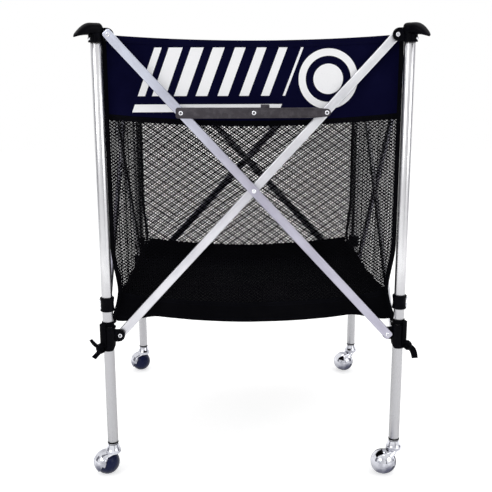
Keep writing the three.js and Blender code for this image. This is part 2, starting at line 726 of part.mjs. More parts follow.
// Tie from the bag's corner round the leg, down past the slider to a knot with two tails. It is
// drawn with its knot towards +X, and the bag's corner at the angle that is given.
function cornerTie(bagAngle) {
  const loopOuter = boreRadius + tieThick;
  const [loopLow, loopHigh] = [tieLoopZ - tieLoopHeight / 2, tieLoopZ + tieLoopHeight / 2];
  const loop = turnedZ([
    [boreRadius, loopLow],
    [loopOuter, loopLow],
    [loopOuter, loopHigh],
    [boreRadius, loopHigh],
    [boreRadius, loopLow],
  ]);
  const middle = (boreRadius + loopOuter) / 2;
  const corner = Math.SQRT2 * bagInset - restGap;
  const strip = new THREE.Shape();
  strip.moveTo(middle, loopLow);
  strip.lineTo(corner, loopLow + tieRise);
  strip.lineTo(corner, loopHigh + tieRise);
  strip.lineTo(stopRadius + tieClear, loopHigh + tieRise / 2);
  strip.lineTo(middle, loopHigh);
  const toBag = standing(strip, -tieThick / 2, tieThick / 2).rotateZ(bagAngle);
  const dropAt = sliderLipRadius + tieClear;
  const side = tieWidth / 2;
  const over = boxBetween(middle, dropAt + tieThick, -side, side, tieLoopZ, loopHigh);
  const drop = boxBetween(dropAt, dropAt + tieThick, -side, side, tieKnotZ, tieLoopZ + tieThick);
  const knotAt = dropAt + tieKnotWidth / 2 - tieKnotSunk;
  const knot = new THREE.SphereGeometry(tieKnotWidth / 2, shaftSides, shaftSides / 2)
    .rotateX(quarterTurn)
    .scale(1, 1, tieKnotHeight / tieKnotWidth)
    .translate(knotAt, 0, tieKnotZ);
  const tilt = THREE.MathUtils.degToRad(tieTailTilt);
  const tail = (length, sign) => boxBetween(
    -tieThick / 2, tieThick / 2, -tieTailWidth / 2, tieTailWidth / 2, 0, length,
  ).rotateY(sign > 0 ? tilt : 2 * quarterTurn - tilt).translate(knotAt, 0, tieKnotZ);
  const tails = [tail(tieTailUpLength, 1), tail(tieTailDownLength, -1)];
  return geometryOf(joined(loop, toBag, over, drop, knot, ...tails));
}

// The legs and faces in order, each a quarter turn from the last
const legNames = ['front_left', 'front_right', 'back_right', 'back_left'];
const faceNames = ['front', 'right', 'back', 'left'];

function addLeg(corner, index) {
  const name = legNames[index];
  const outward = index % 2 ? -quarterTurn : 2 * quarterTurn;
  const heading = THREE.MathUtils.degToRad(casterHeadings[index]) - index * quarterTurn;
  const leg = new THREE.Group();
  leg.position.set(-half, -half, 0);
  corner.add(leg);
  piece(leg, `leg_tube_${name}`, legTube(), aluminium);
  piece(leg, `corner_cap_${name}`, cornerCap(), plastic);
  piece(leg, `stop_collar_${name}`, stopCollar(outward), plastic);
  piece(leg, `slider_${name}`, slider(), plastic);
  piece(leg, `caster_socket_${name}`, casterSocket(), plastic);
  piece(leg, `caster_hood_${name}`, casterHood().rotateZ(heading), chrome);
  piece(leg, `ball_wheel_${name}`, ballWheel().rotateZ(heading), rubber);
  piece(leg, `bag_tie_${name}`, cornerTie(quarterTurn / 2 - outward).rotateZ(outward), cloth);
}

function addBars(corner, index) {
  const name = faceNames[index];
  const outer = piece(corner, `scissor_outer_${name}`, scissorBar(1, index ? [0] : [0, strutAt]), barMetal);
  outer.position.set(0, -half - barOffset, crossZ);
  outer.rotation.y = -barLean;
  const inner = piece(corner, `scissor_inner_${name}`, scissorBar(-1, [0]), barMetal);
  inner.position.set(0, barOffset - half, crossZ);
  inner.rotation.y = barLean;
  const rivet = piece(corner, `crossing_rivet_${name}`, crossingRivet(), steel);
  rivet.position.set(0, -half, crossZ);
}

function addStrut(cart) {
  const strut = new THREE.Group();
  strut.position.set(0, -half, crossZ + strutRise);
  cart.add(strut);
  piece(strut, 'lock_link_left', leftLink(), steel).position.x = -strutHalf;
  piece(strut, 'lock_link_right', rightLink(), steel);
  const front = rightLinkFront + restGap + rivetHeadThick;
  const back = barFace + slideGap - restGap - centreHeadThick;
  piece(strut, 'lock_strut_rivet', geometryOf(pin(front, back, centreHeadThick)), aluminium);
}

const cart = new THREE.Group();
for (let index = 0; index < faceNames.length; index++) {
  const corner = new THREE.Group();
  corner.rotation.z = index * quarterTurn;
  cart.add(corner);
  addLeg(corner, index);
  addBars(corner, index);
  piece(corner, `bag_band_${faceNames[index]}`, topBand(), cloth);
  piece(corner, `bag_net_${faceNames[index]}`, netWall(), net);
}
addStrut(cart);
piece(cart, 'bag_floor_front', floorHalf(), net);
piece(cart, 'bag_floor_back', floorHalf(), net).rotation.z = 2 * quarterTurn;

// The origin lies under the middle of the whole cart, on the floor
cart.updateMatrixWorld(true);
const box = new THREE.Box3().setFromObject(cart, true);
const centre = box.getCenter(new THREE.Vector3());
cart.position.set(-centre.x, -centre.y, -box.min.z);

export default cart;
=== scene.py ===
"""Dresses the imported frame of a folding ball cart: bright legs, scissor bars, ball casters and a net bag.

Everything is in metres, in the frame's own coordinates. The four corners and the four faces of the cart
are alike, so a piece is drawn in the place of the front left corner or the front face, and then turned by
quarters about the cart's middle.
"""

import json
import logging
import math
from dataclasses import dataclass, field
from enum import Enum
from functools import partial
from typing import Any, Callable, Iterable, Sequence, Union

import bmesh
import bpy
import numpy as np
from mathutils import Matrix, Vector

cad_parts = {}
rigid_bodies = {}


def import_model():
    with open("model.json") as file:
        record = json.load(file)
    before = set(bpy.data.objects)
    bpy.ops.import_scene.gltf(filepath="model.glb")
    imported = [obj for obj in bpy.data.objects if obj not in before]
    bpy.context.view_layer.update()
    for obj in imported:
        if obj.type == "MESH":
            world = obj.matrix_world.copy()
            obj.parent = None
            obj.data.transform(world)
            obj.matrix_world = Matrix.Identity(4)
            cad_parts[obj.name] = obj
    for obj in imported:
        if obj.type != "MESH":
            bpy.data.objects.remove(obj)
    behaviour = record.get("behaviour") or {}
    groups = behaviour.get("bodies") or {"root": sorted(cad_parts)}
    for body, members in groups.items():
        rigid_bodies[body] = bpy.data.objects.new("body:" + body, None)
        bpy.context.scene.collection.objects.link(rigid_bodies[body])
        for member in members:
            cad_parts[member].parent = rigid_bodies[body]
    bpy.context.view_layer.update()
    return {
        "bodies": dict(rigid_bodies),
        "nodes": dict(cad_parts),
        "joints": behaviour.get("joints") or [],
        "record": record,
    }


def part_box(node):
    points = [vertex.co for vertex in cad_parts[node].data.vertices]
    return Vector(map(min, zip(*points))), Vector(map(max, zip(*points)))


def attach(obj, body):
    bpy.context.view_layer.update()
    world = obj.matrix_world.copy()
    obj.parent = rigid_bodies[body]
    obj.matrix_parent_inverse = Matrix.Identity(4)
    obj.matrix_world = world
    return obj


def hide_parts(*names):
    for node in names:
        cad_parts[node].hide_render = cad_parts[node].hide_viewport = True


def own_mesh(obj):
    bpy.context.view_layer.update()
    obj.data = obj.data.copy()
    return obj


log = logging.getLogger("ball_cart")

QUARTER = math.pi / 2
TURN = 4 * QUARTER
LEGS = ("front_left", "front_right", "back_right", "back_left")
FACES = ("front", "right", "back", "left")
LEG_BODIES = ("root", "leg_front_right", "leg_back_right", "leg_back_left")
FACE_BODIES = ("root", "leg_front_right", "leg_back_left", "root")
Outline = list[tuple[float, float]]
Value = Union["Wire", float, tuple, None]


# Shader expressions


class Wire:
    """An output socket of a node, which takes part in Python expressions."""

    def __init__(self, graph: "Graph", socket: bpy.types.NodeSocket) -> None:
        """Keeps the socket and the graph that it belongs to."""
        self.graph = graph
        self.socket = socket

    def _math(self, operation: str, *values: Value) -> "Wire":
        """Adds one Math node.

        Args:
            operation: the Math node's operation.
            values: its inputs in order.

        Returns:
            The node's value.
        """
        return self.graph.node("ShaderNodeMath", {"operation": operation}, dict(enumerate(values)))

    def __add__(self, other: Value) -> "Wire":
        """self + other."""
        return self._math("ADD", self, other)

    __radd__ = __add__

    def __sub__(self, other: Value) -> "Wire":
        """self - other."""
        return self._math("SUBTRACT", self, other)

    def __rsub__(self, other: Value) -> "Wire":
        """other - self."""
        return self._math("SUBTRACT", other, self)

    def __mul__(self, other: Value) -> "Wire":
        """self * other."""
        return self._math("MULTIPLY", self, other)

    __rmul__ = __mul__

    def __lt__(self, other: Value) -> "Wire":
        """1 where self is below other, else 0."""
        return self._math("LESS_THAN", self, other)

    def __gt__(self, other: Value) -> "Wire":
        """1 where self is above other, else 0."""
        return self._math("GREATER_THAN", self, other)

    def sine(self) -> "Wire":
        """The sine of self."""
        return self._math("SINE", self)

    def root(self) -> "Wire":
        """The square root of self."""
        return self._math("SQRT", self)

    def least(self, other: Value) -> "Wire":
        """The smaller of self and other."""
        return self._math("MINIMUM", self, other)

    def most(self, other: Value) -> "Wire":
        """The larger of self and other."""
        return self._math("MAXIMUM", self, other)

    def saw(self, period: float) -> "Wire":
        """Distance from the middle of the nearest period, from 0 to half of it."""
        return self._math("PINGPONG", self, period / 2)


class Graph:
    """The nodes of one material, added by Python expressions."""

    def __init__(self, tree: bpy.types.NodeTree) -> None:
        """Starts from an empty node tree."""
        self.tree = tree
        self.tree.nodes.clear()

    def node(self, kind: str, settings: dict[str, Any], inputs: dict[Any, Value], output: Any = 0) -> Wire:
        """Adds any node.

        Args:
            kind: the node's type.
            settings: its own settings, set first. The key stops sets a ramp's stops.
            inputs: values or wires by the name or number of the socket.
            output: name or number of the socket that is returned.

        Returns:
            The output as a wire.
        """
        made = self.tree.nodes.new(kind)
        for name, value in settings.items():
            if name == "stops":
                self._stops(made.color_ramp.elements, value)
            else:
                setattr(made, name, value)
        for key, value in inputs.items():
            if isinstance(value, Wire):
                self.tree.links.new(value.socket, made.inputs[key])
            elif value is not None:
                made.inputs[key].default_value = value
        return Wire(self, made.outputs[output]) if len(made.outputs) else Wire(self, None)

    @staticmethod
    def _stops(elements: Any, stops: Sequence[tuple[float, float]]) -> None:
        """Sets a ramp's stops, each a position and a grey level."""
        while len(elements) < len(stops):
            elements.new(1.0)
        for element, (position, level) in zip(elements, stops):
            element.position = position
            element.color = (level, level, level, 1.0)

    def grain(self) -> Wire:
        """The place on the piece in its own coordinates, in metres."""
        return self.node("ShaderNodeAttribute", {"attribute_name": "grain"}, {}, "Vector")

    def outside(self) -> Wire:
        """1 on the outside of a cloth and 0 on its inside."""
        return self.node("ShaderNodeAttribute", {"attribute_name": "outside"}, {}, "Fac") > 0.5

    def scaled(self, vector: Wire, scale: tuple[float, float, float]) -> Wire:
        """A vector with each part multiplied by its own scale."""
        return self.node("ShaderNodeVectorMath", {"operation": "MULTIPLY"}, {0: vector, 1: scale})

    def part(self, vector: Wire, axis: int) -> Wire:
        """The x, y or z of a vector, by number."""
        return self.node("ShaderNodeSeparateXYZ", {}, {0: vector}, axis)

    def noise(self, vector: Wire, scale: float, detail: float = 3.0, rough: float = 0.55) -> Wire:
        """Cloudy values from 0 to 1, with the scale in cycles a unit."""
        sockets = {"Vector": vector, "Scale": scale, "Detail": detail, "Roughness": rough}
        return self.node("ShaderNodeTexNoise", {}, sockets)

    def ramp(self, value: Wire, low: float, high: float) -> Wire:
        """0 below low, 1 above high, and a straight rise between them."""
        sockets = {"Value": value, "From Min": low, "From Max": high}
        return self.node("ShaderNodeMapRange", {"clamp": True}, sockets)

    def mix(self, amount: Value, below: Value, above: Value) -> Wire:
        """A colour between below and above."""
        made = self.tree.nodes.new("ShaderNodeMix")
        made.data_type = "RGBA"
        for name, value in (("Factor_Float", amount), ("A_Color", below), ("B_Color", above)):
            socket = next(s for s in made.inputs if s.identifier == name)
            if isinstance(value, Wire):
                self.tree.links.new(value.socket, socket)
            else:
                socket.default_value = value
        return Wire(self, next(s for s in made.outputs if s.identifier == "Result_Color"))

    def bump(self, height: Wire, depth: float, strength: float = 1.0) -> Wire:
        """A normal from a height that runs from 0 to 1, where 1 stands depth metres proud."""
        sockets = {"Height": height, "Distance": depth, "Strength": strength}
        return self.node("ShaderNodeBump", {}, sockets, "Normal")

    def surface(self, sockets: dict[str, Value]) -> None:
        """Ends the material in a Principled shader with the sockets given by name."""
        shader = self.node("ShaderNodeBsdfPrincipled", {}, sockets)
        self.node("ShaderNodeOutputMaterial", {}, {"Surface": shader})


def blank(name: str) -> tuple[bpy.types.Material, Graph]:
    """A new material and its empty graph."""
    made = bpy.data.materials.new(name)
    made.use_nodes = True
    return made, Graph(made.node_tree)


def tone(red: float, green: float, blue: float) -> tuple[float, float, float, float]:
    """A colour socket's value from screen levels of 0 to 255."""
    def linear(level: float) -> float:
        """A level as a share of full light."""
        share = level / 255
        return share / 12.92 if share <= 0.04045 else ((share + 0.055) / 1.055) ** 2.4
    return (linear(red), linear(green), linear(blue), 1.0)


# Finishes


@dataclass(frozen=True)
class Finish:
    """One finish, made into a material when it is first used."""

    name: str

    def sockets(self, graph: Graph) -> dict[str, Value]:
        """The Principled shader's sockets."""
        raise NotImplementedError

    def material(self) -> bpy.types.Material:
        """The finish as a material, made once."""
        made = bpy.data.materials.get(self.name)
        if made is None:
            made, graph = blank(self.name)
            graph.surface(self.sockets(graph))
        return made


@dataclass(frozen=True)
class DrawnAluminium(Finish):
    """Drawn and anodised aluminium, with fine lines along the piece's z and painted shade that may make its
    foot darker.
    """

    colour: tuple = tone(214, 214, 216)
    shade: tuple = tone(180, 179, 183)
    # foot: the darker colour of the painted shade low on the piece.
    foot: tuple = tone(178, 178, 181)
    painted_shade_from: float = 0.36
    painted_shade_to: float = 0.46
    rough: float = 0.26
    line_scale: float = 2600.0
    stretch: float = 0.012
    mark_scale: float = 26.0

    def sockets(self, graph: Graph) -> dict[str, Value]:
        """Lines in the roughness and bump, cloudy marks from handling, and painted shade that darkens the
        colour towards the foot.
        """
        place = graph.grain()
        # Painted shade: the colour darkens towards the lower end of the piece's z.
        above_painted_shade = graph.ramp(graph.part(place, 2), self.painted_shade_from, self.painted_shade_to)
        bright = graph.mix(above_painted_shade, self.foot, self.colour)
        lines = graph.noise(graph.scaled(place, (1.0, 1.0, self.stretch)), self.line_scale, 2.0)
        marks = graph.noise(graph.scaled(place, (1.0, 1.0, 0.35)), self.mark_scale, 4.0, 0.6)
        handled = graph.ramp(marks, 0.42, 0.72)
        nicks = graph.ramp(graph.noise(place, 190.0, 2.0), 0.69, 0.74)
        return {
            "Base Color": graph.mix(handled * 0.7 + nicks * 0.25, bright, self.shade),
            "Metallic": 1.0,
            "Roughness": lines * 0.1 + handled * 0.09 + (self.rough - 0.05),
            "Normal": graph.bump(lines, 0.00006, 0.5),
        }


@dataclass(frozen=True)
class MouldedPlastic(Finish):
    """Black moulded plastic with a fine spark texture and rubbed edges."""

    colour: tuple = tone(3, 3, 7)
    rubbed: tuple = tone(13, 13, 21)
    rough: float = 0.38
    gloss: float = 0.035

    def sockets(self, graph: Graph) -> dict[str, Value]:
        """A pebbled bump, with duller and paler rubbed patches."""
        place = graph.grain()
        pebble = graph.noise(place, 1500.0, 2.0)
        rubs = graph.ramp(graph.noise(place, 70.0, 4.0, 0.6), 0.5, 0.72)
        return {
            "Base Color": graph.mix(rubs * 0.7, self.colour, self.rubbed),
            "Roughness": rubs * 0.16 + pebble * 0.08 + (self.rough - 0.06),
            "Specular IOR Level": self.gloss,
            "Normal": graph.bump(pebble, 0.00009, 0.6),
        }


@dataclass(frozen=True)
class ChromePlate(Finish):
    """Polished chrome plate whose colour carries painted reflections: bright over its crowns, with dark
    patches and darker below them.
    """

    colour: tuple = tone(222, 223, 230)
    # The dark colour of the painted reflections.
    painted_reflection: tuple = tone(58, 60, 82)

    def sockets(self, graph: Graph) -> dict[str, Value]:
        """Painted dark reflections in colour and roughness, as cloudy patches and darker towards the bottom,
        and a slight wave in the plate.
        """
        place = graph.grain()
        # Painted reflection: cloudy dark patches, and a painted darkening towards the bottom of the piece.
        cloud = graph.ramp(graph.noise(graph.scaled(place, (1.0, 1.0, 1.3)), 46.0, 2.0, 0.5), 0.40, 0.62)
        painted_reflection = cloud * 0.5 + graph.ramp(graph.part(place, 2), 0.036, 0.020) * 0.6
        wave = graph.noise(place, 90.0, 1.0)
        return {
            "Base Color": graph.mix(painted_reflection * 0.85, self.colour, self.painted_reflection),
            "Metallic": 1.0,
            "Roughness": painted_reflection * 0.1 + 0.06,
            "Normal": graph.bump(wave, 0.0004, 0.4),
        }


@dataclass(frozen=True)
class WheelRubber(Finish):
    """Dark navy thermoplastic rubber of the ball wheels, dusty in its scuffs."""

    colour: tuple = tone(11, 20, 58)
    dust: tuple = tone(28, 40, 82)

    def sockets(self, graph: Graph) -> dict[str, Value]:
        """Scuffs around the tread and a fine grain."""
        place = graph.grain()
        fine = graph.noise(place, 900.0, 2.0)
        scuffs = graph.ramp(graph.noise(graph.scaled(place, (1.0, 1.0, 3.0)), 120.0, 5.0, 0.65), 0.55, 0.8)
        return {
            "Base Color": graph.mix(scuffs * 0.55, self.colour, self.dust),
            "Roughness": scuffs * 0.3 + fine * 0.08 + 0.24,
            "Specular IOR Level": 0.16,
            "Normal": graph.bump(fine, 0.00008, 0.5),
        }


@dataclass(frozen=True)
class DarkSteel(Finish):
    """Blackened steel of the lock links, scratched along its length."""

    colour: tuple = tone(50, 46, 52)
    worn: tuple = tone(104, 100, 106)

    def sockets(self, graph: Graph) -> dict[str, Value]:
        """Long scratches and patches where the coating is thin."""
        place = graph.grain()
        scratch = graph.ramp(graph.noise(graph.scaled(place, (0.05, 1.0, 1.0)), 2400.0, 2.0), 0.6, 0.78)
        patch = graph.ramp(graph.noise(place, 75.0, 5.0, 0.65), 0.48, 0.75)
        return {
            "Base Color": graph.mix(patch * 0.45 + scratch * 0.35, self.colour, self.worn),
            "Metallic": patch * 0.3 + 0.35,
            "Roughness": 0.52 - patch * 0.16,
            "Normal": graph.bump(scratch + patch, 0.00008, 0.4),
        }


class Weave(Enum):
    """How a fabric is made, as threads in a metre of it."""

    TWILL = 1400.0
    PLAIN = 1100.0
    TAPE = 900.0
    NET = 2300.0


@dataclass(frozen=True)
class Fabric(Finish):
    """Woven polyester, whose grain is its flat cut in x and z."""

    colour: tuple = tone(4, 4, 31)
    thread: tuple = tone(12, 12, 47)
    weave: Weave = Weave.TWILL
    rough: float = 0.8
    gloss: float = 0.03
    sheen: float = 0.003
    relief: float = 0.00016

    def threads(self, graph: Graph, place: Wire) -> Wire:
        """The height of the weave from 0 to 1."""
        turn = self.weave.value * math.pi
        across, along = graph.part(place, 0) * turn, graph.part(place, 2) * turn
        if self.weave is Weave.TWILL:
            return ((across + along).sine() * 0.6 + (across * 2.0).sine() * 0.4) * 0.5 + 0.5
        return across.sine() * along.sine() * 0.5 + 0.5

    def sockets(self, graph: Graph) -> dict[str, Value]:
        """The weave, softly clouded by wear and dust."""
        place = graph.grain()
        height = self.threads(graph, place)
        cloud = graph.ramp(graph.noise(place, 16.0, 4.0, 0.6), 0.4, 0.8)
        cloth = graph.mix(height * 0.35 + cloud * 0.4, self.colour, self.thread)
        return {
            "Base Color": self.painted(graph, place, cloth),
            "Roughness": self.rough - cloud * 0.1,
            "Specular IOR Level": self.gloss,
            "Sheen Weight": self.sheen,
            "Sheen Roughness": 0.4,
            "Normal": graph.bump(height + cloud * 0.5, self.relief, 0.7),
        }

    def painted(self, graph: Graph, place: Wire, cloth: Wire) -> Wire:
        """The cloth's colour with anything printed on it."""
        return cloth


@dataclass(frozen=True)
class PrintedBand(Fabric):
    """The front band's cloth with a plain white print: slanting bars over a line, and a ring round a disc."""

    ink: tuple = tone(250, 250, 252)
    ring_x: float = 0.146
    ring_z: float = 0.832
    ring_outer: float = 0.058
    ring_inner: float = 0.044
    disc: float = 0.029
    bars_from: float = -0.226
    bars_to: float = 0.062
    bar_pitch: float = 0.0415
    bar_width: float = 0.029
    bars_low: float = 0.800
    bars_high: float = 0.892
    bar_lean: float = 0.38
    line_low: float = 0.769
    line_high: float = 0.784

    def ring(self, x: Wire, z: Wire) -> Wire:
        """The ring and its disc, 1 where there is ink."""
        across, up = x - self.ring_x, z - self.ring_z
        away = (across * across + up * up).root()
        return (away < self.disc).most((away > self.ring_inner) * (away < self.ring_outer))

    def bars(self, graph: Graph, x: Wire, z: Wire) -> Wire:
        """The slanting bars, which thin out to the right, and the line below them."""
        run = x - (z - self.bars_low) * self.bar_lean
        share = graph.ramp(run, self.bars_from, self.bars_to)
        bar = (run - self.bars_from).saw(self.bar_pitch)
        wide = (1.0 - share * 0.5) * (self.bar_width / 2)
        along = (run > self.bars_from) * (run < self.bars_to)
        line = along * (z > self.line_low) * (z < self.line_high)
        return ((bar < wide) * along * (z > self.bars_low) * (z < self.bars_high)).most(line)

    def painted(self, graph: Graph, place: Wire, cloth: Wire) -> Wire:
        """Ink over the cloth's outside, thinned a little where it is worn."""
        x, z = graph.part(place, 0), graph.part(place, 2)
        worn = graph.ramp(graph.noise(place, 420.0, 3.0), 0.66, 0.8)
        ink = self.ring(x, z).most(self.bars(graph, x, z)) * graph.outside()
        return graph.mix(ink * (1.0 - worn * 0.25), cloth, self.ink)


# On the tubes and bars, foot is painted shade that darkens their lower ends.
TUBE = DrawnAluminium("drawn_tube")
OUTER_BAR = DrawnAluminium("outer_bar", colour=tone(205, 210, 224), shade=tone(146, 143, 158),
                           foot=tone(178, 176, 190), painted_shade_from=0.05, painted_shade_to=0.34, rough=0.3)
INNER_BAR = DrawnAluminium("inner_bar", colour=tone(246, 247, 250), shade=tone(172, 172, 180),
                           foot=tone(208, 208, 213), painted_shade_from=0.08, painted_shade_to=0.36, rough=0.33)
RIVET = DrawnAluminium("rivet_metal", colour=tone(224, 225, 230), foot=tone(224, 225, 230), rough=0.22,
                       stretch=1.0, line_scale=900.0)
PLASTIC = MouldedPlastic("black_moulding")
CHROME = ChromePlate("chrome_plate")
RUBBER = WheelRubber("wheel_rubber")
STEEL = DarkSteel("blackened_steel")
BAND = Fabric("band_twill")
PRINT = PrintedBand("band_print")
SKIRT = Fabric("skirt_plain", colour=tone(2, 2, 4), thread=tone(9, 9, 13), weave=Weave.PLAIN)
NET = Fabric("net_cord", colour=tone(2, 2, 4), thread=tone(10, 10, 15), weave=Weave.NET, relief=0.00008)
TAPE = Fabric("woven_tape", colour=tone(2, 2, 4), thread=tone(13, 13, 18), weave=Weave.TAPE, relief=0.0002)
FLOOR = Fabric("floor_plain", colour=tone(2, 2, 4), thread=tone(8, 8, 12), weave=Weave.PLAIN)
THREAD = Fabric("sewing_thread", colour=tone(8, 8, 18), thread=tone(26, 26, 38), weave=Weave.NET,
                relief=0.00005)


# Shapes


def linked(name: str, data: bpy.types.ID) -> bpy.types.Object:
    """A new object of the scene that holds a mesh, a camera or a lamp."""
    made = bpy.data.objects.new(name, data)
    bpy.context.scene.collection.objects.link(made)
    return made


class Body:
    """Points and faces of one piece, gathered before they become an object."""

    def __init__(self) -> None:
        """Starts with nothing."""
        self.points: list[Vector] = []
        self.faces: list[tuple[int, ...]] = []

    def add(self, points: Iterable[Sequence[float]], faces: Iterable[Sequence[int]],
            place: Matrix | None = None) -> "Body":
        """Adds points and the faces between them.

        Args:
            points: the points in the part's coordinates.
            faces: numbers of the points around each face.
            place: moves the points into the piece's coordinates.

        Returns:
            This body.
        """
        start = len(self.points)
        at = place or Matrix()
        self.points.extend(at @ Vector(point) for point in points)
        self.faces.extend(tuple(start + number for number in face) for face in faces)
        return self

    def lathe(self, profile: Outline, sides: int = 48, place: Matrix | None = None) -> "Body":
        """Turns a profile of radius and z about the z axis.

        Args:
            profile: from axis to axis, or a loop whose last point is its first.
            sides: steps in a full turn.
            place: moves the result.

        Returns:
            This body.
        """
        loop = profile[0] == profile[-1]
        rows: list[list[int]] = []
        points: list[tuple[float, float, float]] = []
        for radius, z in profile[:-1] if loop else profile:
            turns = 1 if radius < 1e-7 else sides
            rows.append(list(range(len(points), len(points) + turns)))
            for side in range(turns):
                angle = TURN * side / sides
                points.append((radius * math.cos(angle), radius * math.sin(angle), z))
        faces: list[tuple[int, ...]] = []
        pairs = list(zip(rows, rows[1:])) + ([(rows[-1], rows[0])] if loop else [])
        for low, high in pairs:
            for side in range(sides):
                after = (side + 1) % sides
                face = (low[side % len(low)], low[after % len(low)],
                        high[after % len(high)], high[side % len(high)])
                faces.append(tuple(dict.fromkeys(face)))
        return self.add(points, [face for face in faces if len(face) > 2], place)

    def prism(self, outline: Outline, low: float, high: float, place: Matrix | None = None) -> "Body":
        """Stands an outline of x and z up between two values of y."""
        count = len(outline)
        points = [(x, low, z) for x, z in outline] + [(x, high, z) for x, z in outline]
        faces = [tuple(range(count)), tuple(range(2 * count - 1, count - 1, -1))]
        for step in range(count):
            after = (step + 1) % count
            faces.append((step, step + count, after + count, after))
        return self.add(points, faces, place)

    def loft(self, sections: Sequence[Sequence[Sequence[float]]], place: Matrix | None = None) -> "Body":
        """Joins closed sections of equal counts, and closes both ends."""
        count = len(sections[0])
        points = [point for section in sections for point in section]
        faces = [tuple(range(count - 1, -1, -1)), tuple(range(len(points) - count, len(points)))]
        for row in range(len(sections) - 1):
            for step in range(count):
                after = (step + 1) % count
                base, over = row * count, (row + 1) * count
                faces.append((base + step, base + after, over + after, over + step))
        return self.add(points, faces, place)

    def made(self, name: str) -> bpy.types.Object:
        """The body as an object with its faces turned outwards."""
        mesh = bpy.data.meshes.new(name)
        mesh.from_pydata([tuple(point) for point in self.points], [], self.faces)
        mesh.validate()
        clean = bmesh.new()
        clean.from_mesh(mesh)
        bmesh.ops.recalc_face_normals(clean, faces=clean.faces)
        clean.to_mesh(mesh)
        clean.free()
        return linked(name, mesh)


def settled(made: bpy.types.Object, modifier: str | None = None, **settings: Any) -> bpy.types.Object:
    """Bakes an object's modifiers into its mesh, after adding one.

    Args:
        made: the object.
        modifier: type of a modifier to add first.
        settings: that modifier's settings.

    Returns:
        The same object.
    """
    if modifier:
        added = made.modifiers.new(modifier.lower(), modifier)
        for key, value in settings.items():
            setattr(added, key, value)
    view = bpy.context.evaluated_depsgraph_get()
    mesh = bpy.data.meshes.new_from_object(made.evaluated_get(view))
    made.modifiers.clear()
    made.data = mesh
    return made


def carved(made: bpy.types.Object, other: bpy.types.Object,
           operation: str = "DIFFERENCE") -> bpy.types.Object:
    """Cuts one object by another, or joins them, and removes the other."""
    settled(made, "BOOLEAN", object=other, operation=operation, solver="EXACT")
    bpy.data.objects.remove(other)
    return made


def bored(made: bpy.types.Object, radius: float, low: float, high: float) -> bpy.types.Object:
    """Cuts a round bore about z between two heights."""
    return carved(made, Body().lathe(column(radius, low, high), 64).made("bore"))


def bevelled(made: bpy.types.Object, width: float, segments: int, degrees: float) -> bpy.types.Object:
    """Rounds the sharp edges of an object."""
    return settled(made, "BEVEL", width=width, segments=segments, limit_method="ANGLE",
                   angle_limit=math.radians(degrees), harden_normals=False)


def mesh_of(made: bpy.types.Object) -> bpy.types.Mesh:
    """Keeps a form's mesh and removes its object."""
    mesh = made.data
    bpy.data.objects.remove(made)
    return mesh


def write_grain(made: bpy.types.Object) -> None:
    """Stores each point's place in the piece's own coordinates, for the finishes."""
    if "grain" in made.data.attributes:
        return
    spots = np.zeros(len(made.data.vertices) * 3, np.float32)
    made.data.vertices.foreach_get("co", spots)
    made.data.attributes.new("grain", "FLOAT_VECTOR", "POINT").data.foreach_set("vector", spots)


def write_outside(made: bpy.types.Object) -> None:
    """Marks the first half of a cloth's points, which are those of its outer layer."""
    count = len(made.data.vertices)
    marks = np.zeros(count, np.float32)
    marks[:count // 2] = 1.0
    made.data.attributes.new("outside", "FLOAT", "POINT").data.foreach_set("value", marks)


@dataclass(frozen=True)
class Role:
    """The body that a piece rides on, its slot and the frame's nodes that it stands for."""

    body: str
    slot: str
    stands_for: tuple[str, ...] = ()


def fit(made: bpy.types.Object, finish: Finish, place: Matrix, role: Role,
        smooth: float) -> bpy.types.Object:
    """Dresses a piece, moves it into the cart and gives it to its body.

    Args:
        made: the piece in its own coordinates.
        finish: what it is made of.
        place: from its coordinates to the cart's.
        role: its body, slot and the nodes that it stands for.
        smooth: edges up to this many degrees are shaded smooth.

    Returns:
        The piece.
    """
    write_grain(made)
    made.data.materials.clear()
    made.data.materials.append(finish.material())
    made.data.transform(place)
    made.data.shade_smooth()
    made.data.set_sharp_from_angle(angle=math.radians(smooth))
    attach(made, role.body)
    if role.stands_for:
        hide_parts(*role.stands_for)
    log.info("%s rides on %s with %d faces", made.name, role.body, len(made.data.polygons))
    return made


def arc(centre: tuple[float, float], radius: float, start: float, end: float, steps: int = 8) -> Outline:
    """Points of an arc.

    Args:
        centre: its middle.
        radius: its radius.
        start: its first angle in degrees.
        end: its last angle in degrees.
        steps: the number of stretches.

    Returns:
        The points in order.
    """
    angles = [math.radians(start + (end - start) * step / steps) for step in range(steps + 1)]
    return [(centre[0] + radius * math.cos(a), centre[1] + radius * math.sin(a)) for a in angles]


def rounded(width: float, height: float, radius: float, steps: int = 6) -> Outline:
    """A rectangle with round corners, about the middle."""
    x, z = width / 2 - radius, height / 2 - radius
    corners = ((x, z, 0), (-x, z, 90), (-x, -z, 180), (x, -z, 270))
    return [point for cx, cz, start in corners for point in arc((cx, cz), radius, start, start + 90, steps)]


def column(radius: float, low: float, high: float) -> Outline:
    """The profile of a round column between two heights."""
    return [(0, low), (radius, low), (radius, high), (0, high)]


def block(left: float, low: float, right: float, high: float) -> Outline:
    """The outline of an upright rectangle."""
    return [(left, low), (right, low), (right, high), (left, high)]


def spin(angle: float) -> Matrix:
    """Turns about z."""
    return Matrix.Rotation(angle, 4, "Z")


def along_y() -> Matrix:
    """Turns what stands along z to stand along -y."""
    return Matrix.Rotation(QUARTER, 4, "X")


# The plan, read from the frame


